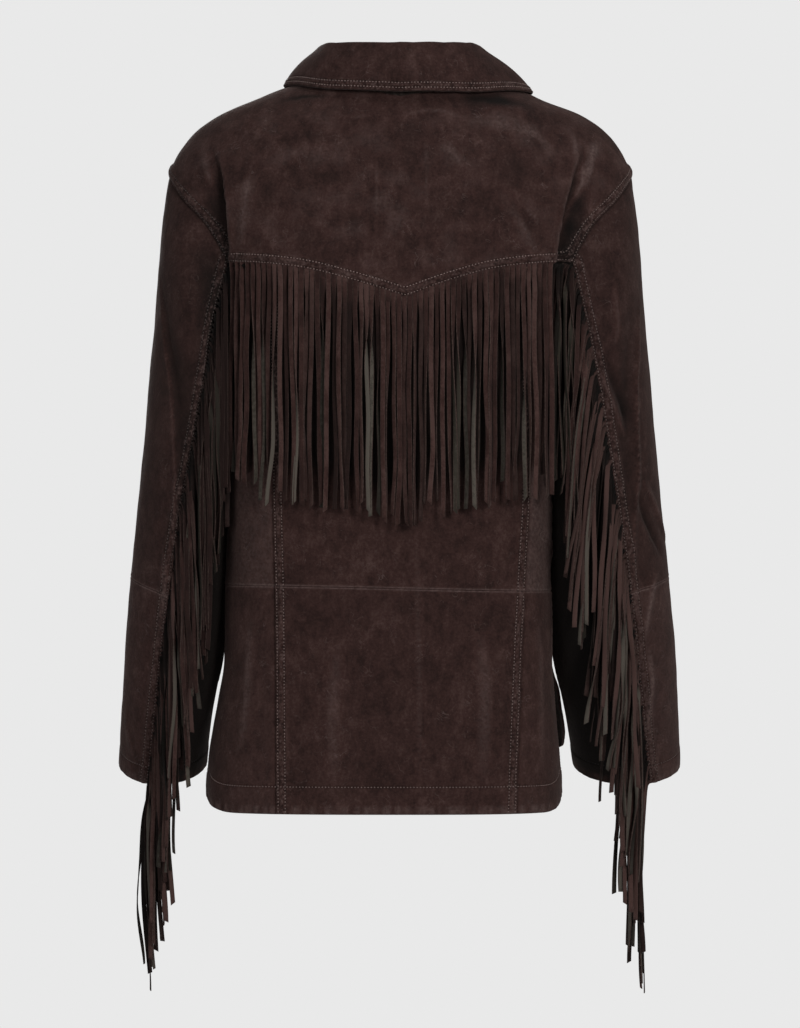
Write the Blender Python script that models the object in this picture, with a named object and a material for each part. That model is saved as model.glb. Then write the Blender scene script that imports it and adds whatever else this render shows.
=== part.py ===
"""Fringed suede jacket, filled out and hollow, as it hangs from the shoulders.

Metres, +Z up.  The wearer's back faces +Y and the wearer's left is +X.  The origin is the
middle of the neck opening at the height of the shoulder line.

The torso is one smooth form, made of level oval sections (TORSO).  A point on it is named by
an angle and a height: angle 0 is the centre back, 90 the left side, -90 the right side and
180 the centre front.  Each piece of the body is cut out of that form by its seam lines, and
each sleeve is a tube of slanted rings (SLEEVE) that starts at the armhole seam.
"""
import math

import bpy
import numpy as np

# ---- cloth ----------------------------------------------------------------------------
SUEDE = 0.0015             # wall of one layer of suede
COLLAR_SUEDE = 0.0024      # the collar is two layers
SEAM_GAP = 0.0003          # between the pieces on the two sides of a seam
SUEDE_COLOR = (0.040, 0.022, 0.019, 1.0)
FRINGE_COLOR = (0.032, 0.019, 0.015, 1.0)
SUEDE_ROUGHNESS = 0.92

# ---- lines across the body ------------------------------------------------------------
SIDE_ANGLE = 90.0
FRONT_EDGE = 0.004         # each front edge lies this far from the middle
WAIST_SEAM = -0.4922       # at the centre back
WAIST_RISE = 0.021         # the seam rises by this for each metre to the left
VENT_TOP = -0.563
BACK_HEM = -0.7120
FRONT_HEM = -0.657
CORNER_ANGLE = 28.0        # rounded hem corners at the vents: reach round the body
CORNER_RISE = 0.050        # and reach up the vent
CORNER_MIDDLE = 45.0       # sweep at the middle of a corner
VENT_GAP_ANGLE = 0.6       # the vent's two edges stop this many degrees short of the side

# ---- fringe ---------------------------------------------------------------------------
FRINGE_HEADER = 0.0016     # the uncut band where the fringe leaves its seam
BACK_FRINGE_LENGTH = 0.229
BACK_FRINGE_DEPTH = 0.007  # the strips overlap and twist, so they fill this depth
SLEEVE_FRINGE_LENGTH = 0.215
SLEEVE_FRINGE_DEPTH = 0.012
SLEEVE_FRINGE_START = 0.18  # how far down the upper ring of the sleeve the fringe starts
FRINGE_CLEARANCE = 0.0014        # between the sleeve's back seam and its fringe
BACK_FRINGE_CLEARANCE = 0.0009   # between the back and its fringe


class Table:
    """Rows of named columns, read at any value of the first column as a smooth curve."""

    def __init__(self, names, rows):
        order = sorted(rows)
        self.keys = np.array([row[0] for row in order], dtype=float)
        self.columns = {}
        for place, name in enumerate(names):
            values = np.array([row[place] for row in order], dtype=float)
            self.columns[name] = (values, monotone_slopes(self.keys, values))

    def at(self, name, key):
        values, slopes = self.columns[name]
        key = min(max(key, self.keys[0]), self.keys[-1])
        low = min(int(np.searchsorted(self.keys, key, side="right")) - 1, len(self.keys) - 2)
        step = self.keys[low + 1] - self.keys[low]
        return hermite(values[low], values[low + 1], slopes[low] * step,
                       slopes[low + 1] * step, (key - self.keys[low]) / step)


def hermite(start, end, start_slope, end_slope, t):
    """Cubic from start to end with the given slopes, at t from 0 to 1."""
    t2, t3 = t * t, t * t * t
    return ((2 * t3 - 3 * t2 + 1) * start + (t3 - 2 * t2 + t) * start_slope
            + (3 * t2 - 2 * t3) * end + (t3 - t2) * end_slope)


def monotone_slopes(keys, values):
    """Slopes that keep the curve from swinging past its own values."""
    steps = np.diff(keys)
    rises = np.diff(values) / steps
    slopes = np.zeros(len(values))
    slopes[0], slopes[-1] = rises[0], rises[-1]
    for i in range(1, len(values) - 1):
        if rises[i - 1] * rises[i] > 0:
            before = 2 * steps[i] + steps[i - 1]
            after = steps[i] + 2 * steps[i - 1]
            slopes[i] = (before + after) / (before / rises[i - 1] + after / rises[i])
    return slopes


# ---- the torso's level sections -------------------------------------------------------
# height | half width at the left and right, of the back and of the front | depth behind and
# ahead of the middle | power: 2 is an oval, more is squarer | pinch: how far the arm presses
# the side in
TORSO = Table(
    ("height", "left", "right", "front_left", "front_right", "back", "front", "power", "pinch"), [
        (0.022, 0.074, 0.074, 0.074, 0.074, 0.054, 0.050, 2.0, 0.0),
        (0.012, 0.100, 0.100, 0.100, 0.100, 0.062, 0.055, 2.0, 0.0),
        (0.003, 0.125, 0.125, 0.125, 0.125, 0.068, 0.060, 2.0, 0.0),
        (-0.005, 0.143, 0.142, 0.143, 0.142, 0.073, 0.064, 2.0, 0.0),
        (-0.020, 0.180, 0.179, 0.180, 0.179, 0.080, 0.071, 2.0, 0.0),
        (-0.035, 0.203, 0.202, 0.203, 0.202, 0.086, 0.078, 2.05, 0.0),
        (-0.050, 0.216, 0.216, 0.216, 0.216, 0.092, 0.085, 2.1, 0.0),
        (-0.065, 0.225, 0.225, 0.225, 0.225, 0.097, 0.091, 2.2, 0.0),
        (-0.080, 0.230, 0.231, 0.230, 0.231, 0.101, 0.096, 2.3, 0.0),
        (-0.105, 0.226, 0.228, 0.226, 0.228, 0.107, 0.103, 2.5, 0.0),
        (-0.135, 0.206, 0.208, 0.206, 0.208, 0.112, 0.109, 2.7, 0.0),
        (-0.167, 0.185, 0.187, 0.185, 0.187, 0.116, 0.114, 2.9, 0.0),
        (-0.205, 0.171, 0.172, 0.171, 0.172, 0.117, 0.117, 3.0, 0.002),
        (-0.248, 0.166, 0.164, 0.166, 0.164, 0.116, 0.118, 3.0, 0.006),
        (-0.305, 0.1700, 0.1590, 0.1700, 0.1590, 0.113, 0.116, 3.0, 0.009),
        (-0.405, 0.1760, 0.1550, 0.1760, 0.1550, 0.109, 0.111, 3.0, 0.008),
        (-0.490, 0.1775, 0.1540, 0.1775, 0.1540, 0.108, 0.109, 3.0, 0.006),
        (-0.563, 0.1780, 0.1545, 0.1780, 0.1545, 0.111, 0.111, 3.0, 0.004),
        (-0.605, 0.1835, 0.1565, 0.1810, 0.1620, 0.113, 0.113, 3.0, 0.002),
        (-0.665, 0.1910, 0.1590, 0.1820, 0.1672, 0.116, 0.116, 3.0, 0.0),
        (-0.695, 0.1935, 0.1605, 0.1820, 0.1672, 0.118, 0.117, 3.0, 0.0),
        (-0.725, 0.1945, 0.1615, 0.1820, 0.1672, 0.119, 0.118, 3.0, 0.0),
    ])
PINCH_REACH = 0.055        # the arm presses this far ahead of and behind the side line
SEARCH_STEP = 0.25         # degrees, when looking for the angle of a place

# ---- seam lines of the body: distance from the middle (left is +) and height --------------
YOKE_SEAM = Table(("across", "height"), [
    (-0.170, -0.1705), (-0.137, -0.1735), (-0.098, -0.1785), (-0.049, -0.1915),
    (-0.0065, -0.2065), (-0.005, -0.2070), (-0.0035, -0.2065),
    (0.049, -0.1905), (0.098, -0.1785), (0.137, -0.1735), (0.170, -0.1705)])
YOKE_POINT = -0.005        # the lowest point of the V
LONG_SEAM = Table(("height", "left", "right"), [
    (-0.175, 0.1285, -0.1285), (-0.405, 0.1245, -0.1275), (-0.490, 0.1225, -0.1225),
    (-0.712, 0.1205, -0.1135)])

# ---- armhole: knots round the ring, from the shoulder point down the back ------------------
# face of the torso | distance from the middle | height | seam steps to the next knot
ARMHOLE = [
    ("side", 0.230, -0.080, 3),        # shoulder point
    ("back", 0.203, -0.119, 3),
    ("back", 0.170, -0.1705, 3),       # the yoke seam and the sleeve's back seam end here
    ("back", 0.160, -0.215, 2),
    ("side", 0.163, -0.248, 2),        # underarm
    ("front", 0.160, -0.213, 3),
    ("front", 0.170, -0.165, 3),       # the sleeve's front seam ends here
    ("front", 0.207, -0.108, 3),       # the yoke's chest seam ends here
]
BACK_KNOT, UNDERARM_KNOT, YOKE_FRONT_KNOT = 2, 4, 7

# ---- neckline: angle round the neck and height ----------------------------------------
NECKLINE = Table(("angle", "height"), [
    (0.0, -0.0060), (45.0, 0.0030), (70.0, 0.0130), (90.0, 0.0170), (112.0, 0.0060),
    (140.0, -0.0280), (165.0, -0.0640), (180.0, -0.0840)])
CHEST_SEAM_NECK_ANGLE = 126.0
NECK_STEPS_FRONT = 5

# ---- collar: from the centre back round to the front edge -------------------------------
# angle round the neck | fold line out from and above the neckline | where the fall's edge
# lies: angle and height on the torso's form, and how far it stands off
COLLAR = Table(("angle", "fold_out", "fold_up", "edge_angle", "edge_height", "edge_off"), [
    (0.0, 0.003, 0.0515, 0.0, -0.0030, 0.0130),
    (45.0, -0.003, 0.0440, 45.0, 0.0010, 0.0110),
    (75.0, -0.009, 0.0330, 76.0, 0.0085, 0.0085),
    (95.0, -0.009, 0.0285, 95.0, 0.0090, 0.0085),
    (120.0, -0.005, 0.0270, 115.0, -0.0140, 0.0085),
    (150.0, 0.003, 0.0190, 137.0, -0.0600, 0.0090),
    (180.0, 0.006, 0.0130, 153.0, -0.1120, 0.0100),
])
COLLAR_RIGHT_DROOP = 0.006      # the fall hangs this much lower over the right shoulder
COLLAR_REST = 0.0007            # the stand's lower edge, above the neckline

# ---- sleeve rings, down from the armhole -------------------------------------------------
# ring | outer edge: across, height | inner edge: across at the left, at the right, height |
# middle, fore and aft | half depth | drop of its back edge | back seam's angle, left and right
SLEEVE_NAMES = ("ring", "outer", "outer_z", "inner_left", "inner_right", "inner_z", "middle",
                "depth", "drop", "seam_left", "seam_right")
SLEEVE = [
    (1, 0.238, -0.135, 0.1640, 0.1605, -0.275, 0.000, 0.0750, 0.000, -26, -22),
    (2, 0.244, -0.215, 0.1646, 0.1521, -0.318, 0.002, 0.0740, 0.000, -19, -7),
    (3, 0.252, -0.305, 0.1678, 0.1501, -0.365, 0.004, 0.0700, 0.002, -11, 2),
    (4, 0.260, -0.395, 0.1709, 0.1492, -0.432, 0.005, 0.0660, 0.004, 1, 11),
    (5, 0.269, -0.481, 0.1734, 0.1501, -0.508, 0.003, 0.0620, 0.007, 8, 17),
    (6, 0.275, -0.545, 0.1780, 0.1545, -0.563, -0.006, 0.0590, 0.010, 11, 19),
    (7, 0.279, -0.607, 0.1880, 0.1656, -0.618, -0.020, 0.0560, 0.014, 12, 19),
    (8, 0.282, -0.670, 0.1945, 0.1740, -0.669, -0.036, 0.0540, 0.019, 16, 23),
]
FRONT_SEAM_ANGLE = 200.0
ELBOW_RING, CUFF_RING = 5, 8


# ---- the torso ----------------------------------------------------------------------------
def torso_point(angle, height):
    """The outside of the torso at an angle (degrees) and a height."""
    side = "left" if angle >= 0 else "right"
    turn = math.radians(abs(angle))
    across, along = math.sin(turn), math.cos(turn)
    if along >= 0:
        half, depth = TORSO.at(side, height), TORSO.at("back", height)
    else:
        half, depth = TORSO.at("front_" + side, height), TORSO.at("front", height)
    power = TORSO.at("power", height)
    reach = ((across / half) ** power + (abs(along) / depth) ** power) ** (-1 / power)
    x, y = reach * across, reach * along
    x -= TORSO.at("pinch", height) * across * math.exp(-(y / PINCH_REACH) ** 2)
    return np.array((math.copysign(x, angle), y, height))


def angle_at(across, height, face="back"):
    """The angle whose torso point lies this far from the middle (left is +)."""
    start, step = (0.0, SEARCH_STEP) if face == "back" else (180.0, -SEARCH_STEP)
    sign = math.copysign(1.0, across)
    before = start
    for _ in range(round(SIDE_ANGLE / SEARCH_STEP)):
        after = before + step
        if abs(torso_point(sign * after, height)[0]) >= abs(across):
            near = abs(torso_point(sign * before, height)[0])
            far = abs(torso_point(sign * after, height)[0])
            return sign * (before + step * (abs(across) - near) / (far - near))
        before = after
    return sign * SIDE_ANGLE


def line(start, end, steps):
    """Evenly spaced (angle, height) points of a straight seam."""
    return [tuple(np.array(start) + (np.array(end) - np.array(start)) * i / steps)
            for i in range(steps + 1)]


def yoke_seam(start, end, steps):
    """Points of the yoke's V seam between two distances from the middle."""
    points = []
    for across in np.linspace(start, end, steps + 1):
        height = YOKE_SEAM.at("height", across)
        points.append((angle_at(across, height), height))
    return points


def armhole_points(sign, first, last):
    """Points of the armhole seam from knot to knot, going down the back and up the front."""
    knots = []
    for face, across, height, _ in ARMHOLE:
        angle = SIDE_ANGLE if face == "side" else abs(angle_at(sign * across, height, face))
        knots.append(np.array((sign * angle, height)))
    points = []
    count = len(knots)
    while last <= first:
        last += count
    for k in range(first, last):
        steps = ARMHOLE[k % count][3]
        before, start, end, after = (knots[(k + j) % count] for j in (-1, 0, 1, 2))
        for i in range(steps):
            points.append(tuple(hermite(start, end, (end - before) / 2, (after - start) / 2,
                                        i / steps)))
    points.append(tuple(knots[last % count]))
    return points


def neckline(start, end, steps):
    """Points of the neckline between two angles."""
    return [(angle, NECKLINE.at("height", abs(angle)))
            for angle in np.linspace(start, end, steps + 1)]


def front_edge(sign, height):
    """(angle, height) of a front's free edge."""
    return (angle_at(sign * FRONT_EDGE, height, "front"), height)


def hem_corner(sign, hem, start, turn, first, last):
    """Points of a rounded hem corner between two sweeps, from the vent (0) to the hem (90)."""
    points = []
    for sweep in np.radians(np.linspace(first, last, CORNER_STEPS + 1)):
        points.append((sign * (start - turn * CORNER_ANGLE * (1 - math.cos(sweep))),
                       hem + CORNER_RISE * (1 - math.sin(sweep))))
    return points


# ---- cloth solids ------------------------------------------------------------------------
NORMAL_TURN, NORMAL_RISE = 0.3, 0.001    # degrees and metres either side of a point
SHARP_EDGE = 40.0                        # faces that meet at more degrees look sharp


def spread(bottom, top, left, right):
    """A grid of (angle, height) filled in between four seam lines."""
    rows, columns = len(left), len(bottom)
    bottom, top, left, right = (np.array(edge, dtype=float) for edge in (bottom, top, left, right))
    grid = np.zeros((rows, columns, 2))
    for i in range(rows):
        v = i / (rows - 1)
        for j in range(columns):
            u = j / (columns - 1)
            grid[i, j] = ((1 - v) * bottom[j] + v * top[j] + (1 - u) * left[i] + u * right[i]
                          - (1 - u) * (1 - v) * bottom[0] - u * (1 - v) * bottom[-1]
                          - (1 - u) * v * top[0] - u * v * top[-1])
    return grid


def torso_normal(angle, height):
    """Unit normal of the torso, pointing out."""
    turn, rise = NORMAL_TURN, NORMAL_RISE
    around = torso_point(angle + turn, height) - torso_point(angle - turn, height)
    along = torso_point(angle, height + rise) - torso_point(angle, height - rise)
    normal = np.cross(along, around)
    normal *= np.sign(np.dot(normal[:2], torso_point(angle, height)[:2]))
    return normal / np.linalg.norm(normal)


def on_torso(grid):
    """Points and normals of the torso at a grid of (angle, height)."""
    return (np.array([[torso_point(angle, height) for angle, height in row] for row in grid]),
            np.array([[torso_normal(angle, height) for angle, height in row] for row in grid]))


def unit(vectors):
    return vectors / np.linalg.norm(vectors, axis=-1, keepdims=True)


def grid_normals(points):
    """Unit normals of a grid of points."""
    along = np.gradient(points, axis=0, edge_order=2)
    across = np.gradient(points, axis=1, edge_order=2)
    return unit(np.cross(across, along))


def tube_normals(rings):
    """Unit normals of a tube of rings whose last column repeats the first, pointing out."""
    along = np.gradient(rings, axis=0, edge_order=2)
    wrapped = np.concatenate((rings[:, -2:-1], rings, rings[:, 1:2]), axis=1)
    normals = unit(np.cross(wrapped[:, 2:] - wrapped[:, :-2], along))
    outward = rings - rings[:, :-1].mean(axis=1, keepdims=True)
    return normals * np.sign((normals * outward).sum())


def drawn_in(points, gap):
    """The grid with each edge moved in by a gap, to leave room for the seam."""
    points = points.copy()
    for grid in (points, points.swapaxes(0, 1)):
        for edge, inner in ((0, 1), (-1, -2)):
            step = grid[inner] - grid[edge]
            grid[edge] += step * gap / np.linalg.norm(step, axis=1, keepdims=True)
    return points


def suede_material(name, color):
    material = bpy.data.materials.new(name + "_suede")
    material.use_nodes = True
    shader = material.node_tree.nodes["Principled BSDF"]
    shader.inputs["Base Color"].default_value = color
    shader.inputs["Roughness"].default_value = SUEDE_ROUGHNESS
    shader.inputs["Metallic"].default_value = 0.0
    return material


def wall(name, outer, inner, color=SUEDE_COLOR):
    """A closed solid between two grids of points."""
    rows, columns = outer.shape[:2]
    count = rows * columns
    vertices = [tuple(point) for face in (outer, inner) for row in face for point in row]

    def at(i, j, layer):
        return layer * count + i * columns + j

    faces = []
    for i in range(rows - 1):
        for j in range(columns - 1):
            for layer in (0, 1):
                quad = [at(i, j, layer), at(i, j + 1, layer), at(i + 1, j + 1, layer),
                        at(i + 1, j, layer)]
                faces.append(quad if layer == 0 else quad[::-1])
    rim = [(0, j) for j in range(columns)] + [(i, columns - 1) for i in range(1, rows)]
    rim += [(rows - 1, j) for j in range(columns - 2, -1, -1)]
    rim += [(i, 0) for i in range(rows - 2, 0, -1)]
    for (i, j), (k, m) in zip(rim, rim[1:] + rim[:1]):
        # two pieces that share a seam split its twisted end faces along the same diagonal
        if outer[i, j, 2] > outer[k, m, 2]:
            faces.append([at(k, m, 0), at(i, j, 0), at(k, m, 1)])
            faces.append([at(i, j, 0), at(i, j, 1), at(k, m, 1)])
        else:
            faces.append([at(k, m, 0), at(i, j, 0), at(i, j, 1)])
            faces.append([at(k, m, 0), at(i, j, 1), at(k, m, 1)])
    mesh = bpy.data.meshes.new(name)
    mesh.from_pydata(vertices, [], faces)
    if signed_volume(mesh) < 0:
        mesh.flip_normals()
    mesh.shade_smooth()
    mesh.set_sharp_from_angle(angle=math.radians(SHARP_EDGE))
    mesh.materials.append(suede_material(name, color))
    solid = bpy.data.objects.new(name, mesh)
    bpy.context.scene.collection.objects.link(solid)
    return solid


def signed_volume(mesh):
    total = 0.0
    for face in mesh.polygons:
        corners = [mesh.vertices[v].co for v in face.vertices]
        for second, third in zip(corners[1:-1], corners[2:]):
            total += corners[0].dot(second.cross(third))
    return total


def panel(name, points, normals, thickness=SUEDE):
    """A suede panel whose outside is the grid, drawn in at its seams."""
    points = drawn_in(points, SEAM_GAP / 2)
    return wall(name, points, points - normals * thickness)


# ---- body ---------------------------------------------------------------------------------
CENTER_STEPS, SIDE_STEPS = 12, 6       # across the centre back and each side back
YOKE_STEPS = 6                         # from the yoke's outer edge to the neckline
SIDE_SEAM_STEPS, VENT_SIDE_STEPS = 4, 2  # underarm to waist, and waist to vent
VENT_STEPS, CORNER_STEPS = 3, 3
ARMHOLE_LOW_STEPS = 5                  # underarm to the yoke corner
UPPER_STEPS = SIDE_SEAM_STEPS + ARMHOLE_LOW_STEPS
LOWER_STEPS = CORNER_STEPS + VENT_STEPS + VENT_SIDE_STEPS
FRONT_HEM_STEPS = NECK_STEPS_FRONT + YOKE_STEPS - CORNER_STEPS
SIDES = (("left", 1), ("right", -1))


def seam_reach(side):
    """Where the long seam meets the yoke: distance from the middle and height."""
    across = LONG_SEAM.at(side, 0.0)
    return across, YOKE_SEAM.at("height", across)


def yoke_corner(sign):
    """Where the yoke's seam meets the armhole: distance from the middle."""
    return sign * ARMHOLE[BACK_KNOT][1]


def long_seam_points(side, bottom, top, steps):
    return [(angle_at(LONG_SEAM.at(side, height), height), height)
            for height in np.linspace(bottom, top, steps + 1)]


def waist_height(across):
    return WAIST_SEAM + WAIST_RISE * across


def side_waist(sign):
    """Where the waist seam meets the side seam."""
    return (sign * SIDE_ANGLE, waist_height(torso_point(sign * SIDE_ANGLE, WAIST_SEAM)[0]))


def waist_crossing(side):
    """Height at which the waist seam crosses a long seam."""
    return waist_height(LONG_SEAM.at(side, WAIST_SEAM))


def chest_seam(sign):
    """The yoke's front seam, from the armhole to the neckline."""
    start = armhole_points(sign, YOKE_FRONT_KNOT, BACK_KNOT)[0]
    neck = sign * CHEST_SEAM_NECK_ANGLE
    return line(start, (neck, NECKLINE.at("height", CHEST_SEAM_NECK_ANGLE)), YOKE_STEPS)


def make_yoke():
    outer = armhole_points(1, YOKE_FRONT_KNOT, BACK_KNOT)[:-1]
    stops = [yoke_corner(1), seam_reach("left")[0], YOKE_POINT, seam_reach("right")[0],
             yoke_corner(-1)]
    counts = [SIDE_STEPS, CENTER_STEPS // 2, CENTER_STEPS // 2, SIDE_STEPS]
    for start, end, steps in zip(stops, stops[1:], counts):
        outer += yoke_seam(start, end, steps)[:-1]
    outer += armhole_points(-1, YOKE_FRONT_KNOT, BACK_KNOT)[::-1]
    neck = neckline(CHEST_SEAM_NECK_ANGLE, -CHEST_SEAM_NECK_ANGLE, len(outer) - 1)
    grid = spread(outer, neck, chest_seam(1), chest_seam(-1))
    panel("back_yoke", *on_torso(grid))


def make_center_back():
    tops = {side: seam_reach(side) for side, _ in SIDES}
    yoke_edge = yoke_seam(tops["left"][0], YOKE_POINT, CENTER_STEPS // 2)[:-1]
    yoke_edge += yoke_seam(YOKE_POINT, tops["right"][0], CENTER_STEPS // 2)
    upper = [long_seam_points(side, waist_crossing(side), tops[side][1], UPPER_STEPS)
             for side, _ in SIDES]
    lower = [long_seam_points(side, BACK_HEM, waist_crossing(side), LOWER_STEPS)
             for side, _ in SIDES]
    waist = line(upper[0][0], upper[1][0], CENTER_STEPS)
    hem = line(lower[0][0], lower[1][0], CENTER_STEPS)
    panel("back_center_upper", *on_torso(spread(waist, yoke_edge, *upper)))
    panel("back_center_lower", *on_torso(spread(hem, waist, *lower)))


def side_edge(sign, hem, turn):
    """The edge beside the vent and the side seam, from the hem corner up to the waist."""
    start = SIDE_ANGLE - turn * VENT_GAP_ANGLE
    corner = hem_corner(sign, hem, start, turn, CORNER_MIDDLE, 0.0)
    vent = line(corner[-1], (sign * SIDE_ANGLE, VENT_TOP), VENT_STEPS)
    seam = line(vent[-1], side_waist(sign), VENT_SIDE_STEPS)
    return corner + vent[1:] + seam[1:]


def hem_edge(sign, hem, turn, start_angle, steps):
    """The hem from an angle to the middle of its rounded corner."""
    start = SIDE_ANGLE - turn * VENT_GAP_ANGLE
    corner = hem_corner(sign, hem, start, turn, 90.0, CORNER_MIDDLE)
    return line((start_angle, hem), corner[0], steps) + corner[1:]


def make_side_back(side, sign):
    across, top = seam_reach(side)
    crossing = waist_crossing(side)
    inner = long_seam_points(side, crossing, top, UPPER_STEPS)
    waist = line(inner[0], side_waist(sign), SIDE_STEPS)
    yoke_edge = yoke_seam(across, yoke_corner(sign), SIDE_STEPS)
    armhole = armhole_points(sign, BACK_KNOT, UNDERARM_KNOT)[::-1]
    seam = line(side_waist(sign), armhole[0], SIDE_SEAM_STEPS)
    grid = spread(waist, yoke_edge, inner, seam + armhole[1:])
    panel("back_side_upper_" + side, *on_torso(grid))
    inner = long_seam_points(side, BACK_HEM, crossing, LOWER_STEPS)
    hem = hem_edge(sign, BACK_HEM, 1, inner[0][0], SIDE_STEPS - CORNER_STEPS)
    panel("back_side_lower_" + side,
          *on_torso(spread(hem, waist, inner, side_edge(sign, BACK_HEM, 1))))


def make_front(side, sign):
    armhole = armhole_points(sign, UNDERARM_KNOT, YOKE_FRONT_KNOT)
    seam = line(side_waist(sign), armhole[0], SIDE_SEAM_STEPS)
    outer = side_edge(sign, FRONT_HEM, -1) + seam[1:] + armhole[1:]
    neck_height = NECKLINE.at("height", 180.0)
    free = [front_edge(sign, height)
            for height in np.linspace(FRONT_HEM, neck_height, len(outer))]
    neck = line(free[-1], chest_seam(sign)[-1], NECK_STEPS_FRONT)
    neck = [(angle, NECKLINE.at("height", abs(angle))) for angle, _ in neck]
    neck[0] = free[-1]
    hem = hem_edge(sign, FRONT_HEM, -1, free[0][0], FRONT_HEM_STEPS)
    grid = spread(hem, neck + chest_seam(sign)[::-1][1:], free, outer)
    panel("front_" + side, *on_torso(grid))


# ---- collar -------------------------------------------------------------------------------
COLLAR_COLUMNS = 30
FOLD_HALF = 0.0042         # half the width of the rolled fold
FALL_BULGE = 0.002         # the fall is this much rounder than a straight line
FOLD_DEPTH = 0.0065        # how far below its top the roll has spread to that width
FALL_START = 0.16          # share of the fall at which it has left the roll
FALL_LEAN = 0.6            # and how far out it is there, as a share of the roll's half width


def collar_profile(angle):
    """The collar's outside at an angle: up the stand, over the fold and down the fall."""
    turn = abs(angle)
    base = torso_point(angle, NECKLINE.at("height", turn)) + (0, 0, COLLAR_REST)
    out = np.array((base[0], base[1], 0.0))
    out /= np.linalg.norm(out)
    up = np.array((0.0, 0.0, 1.0))
    fold = base + out * COLLAR.at("fold_out", turn) + up * COLLAR.at("fold_up", turn)
    droop = COLLAR_RIGHT_DROOP * math.sin(math.radians(turn)) ** 2 if angle < 0 else 0.0
    rest = (math.copysign(COLLAR.at("edge_angle", turn), angle),
            COLLAR.at("edge_height", turn) - droop)
    edge = torso_point(*rest) + out * COLLAR.at("edge_off", turn)
    stand_top = fold - out * FOLD_HALF - up * FOLD_DEPTH
    fall_top = fold + (edge - fold) * FALL_START + out * FOLD_HALF * FALL_LEAN
    bulge = (out + up) * FALL_BULGE
    rise, fall = (stand_top - base) / 3, (edge - fall_top) / 3
    return [base, base + rise, base + 2 * rise, stand_top, fold, fall_top,
            fall_top + fall + bulge, fall_top + 2 * fall + bulge, edge]


def make_collar():
    end = abs(front_edge(1, NECKLINE.at("height", 180.0))[0])
    angles = np.linspace(end, -end, COLLAR_COLUMNS + 1)
    points = np.array([collar_profile(angle) for angle in angles]).swapaxes(0, 1)
    normals = grid_normals(points)
    fold_row = points.shape[0] // 2
    normals *= np.sign(normals[fold_row, :, 2].sum())
    panel("collar", points, normals, COLLAR_SUEDE)


# ---- sleeves ------------------------------------------------------------------------------
TOP_COLUMNS, UNDER_COLUMNS = 12, 10    # round the ring, outside and inside of the arm
UPPER_ARM_ROWS, FOREARM_ROWS = 6, 4
ARMHOLE_LIFT = 0.0004      # the sleeve's first ring stands off the body's seam edge by this


def sleeve_ring(sign, row):
    """Points round one ring, from the back seam over the outside of the arm and back."""
    ring = dict(zip(SLEEVE_NAMES, row))
    side = "left" if sign > 0 else "right"
    outer = np.array((sign * ring["outer"], ring["middle"], ring["outer_z"]))
    inner = np.array((sign * ring["inner_" + side], ring["middle"], ring["inner_z"]))
    back = np.array((0.0, ring["depth"], -ring["drop"]))
    seam = ring["seam_" + side]
    angles = list(np.linspace(seam, FRONT_SEAM_ANGLE, TOP_COLUMNS + 1))
    angles += list(np.linspace(FRONT_SEAM_ANGLE, 360.0 + seam, UNDER_COLUMNS + 1)[1:])
    return [(outer + inner) / 2 + (outer - inner) / 2 * math.sin(math.radians(angle))
            + back * math.cos(math.radians(angle)) for angle in angles]


def armhole_ring(sign):
    """The armhole seam in space, in the same order as a sleeve ring, just off the body."""
    ring = []
    for angle, height in armhole_points(sign, BACK_KNOT, BACK_KNOT)[::-1]:
        ring.append(torso_point(angle, height) + torso_normal(angle, height) * ARMHOLE_LIFT)
    return ring


def sleeve_curves(sign):
    """The sleeve's knots, ring by ring, and each ring's place along the sleeve."""
    rings = np.array([armhole_ring(sign)] + [sleeve_ring(sign, row) for row in SLEEVE])
    steps = np.linalg.norm(np.diff(rings, axis=0), axis=2).mean(axis=1)
    return rings, np.concatenate(([0.0], np.cumsum(steps)))


def sleeve_at(rings, places, place):
    """The ring at a place along the sleeve."""
    low = min(int(np.searchsorted(places, place, side="right")) - 1, len(places) - 2)
    step = places[low + 1] - places[low]
    slopes = []
    for i in (low, low + 1):
        before, after = max(i - 1, 0), min(i + 1, len(places) - 1)
        slopes.append((rings[after] - rings[before]) / (places[after] - places[before]) * step)
    return hermite(rings[low], rings[low + 1], slopes[0], slopes[1], (place - places[low]) / step)


def make_sleeve(side, sign):
    rings, places = sleeve_curves(sign)
    above = np.linspace(0.0, places[ELBOW_RING], UPPER_ARM_ROWS + 1)
    below = np.linspace(places[ELBOW_RING], places[CUFF_RING], FOREARM_ROWS + 1)
    tube = np.array([sleeve_at(rings, places, place) for place in [*above, *below[1:]]])
    normals = tube_normals(tube)
    top, under = slice(0, TOP_COLUMNS + 1), slice(TOP_COLUMNS, None)
    upper, lower = slice(0, UPPER_ARM_ROWS + 1), slice(UPPER_ARM_ROWS, None)
    panel("top_sleeve_upper_" + side, tube[upper, top], normals[upper, top])
    panel("top_sleeve_lower_" + side, tube[lower, top], normals[lower, top])
    panel("under_sleeve_" + side, tube[:, under], normals[:, under])


# ---- fringe -------------------------------------------------------------------------------
BACK_FRINGE_COLUMNS, BACK_FRINGE_ROWS = 26, 5
BACK_FRINGE_ENDS = (0.168, -0.150)   # across the back, left and right
SLEEVE_FRINGE_COLUMNS, SLEEVE_FRINGE_ROWS = 14, 3
BODY_BEHIND = 0.99         # a strip is held off where the body is at least this wide
FILL_POWER = 0.5           # the fringe grows to its full depth as this power of the way down
# how far the strips' ends hang towards the body from their place on the sleeve's seam:
# place from the armhole (0) to the cuff (1) | left | right
SLEEVE_FRINGE_DRIFT = Table(("place", "left", "right"), [
    (0.0, 0.003, 0.010), (0.15, 0.008, 0.025), (0.35, 0.017, 0.025), (0.6, 0.010, 0.020),
    (0.85, 0.006, 0.018), (1.0, -0.010, 0.007)])


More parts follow.
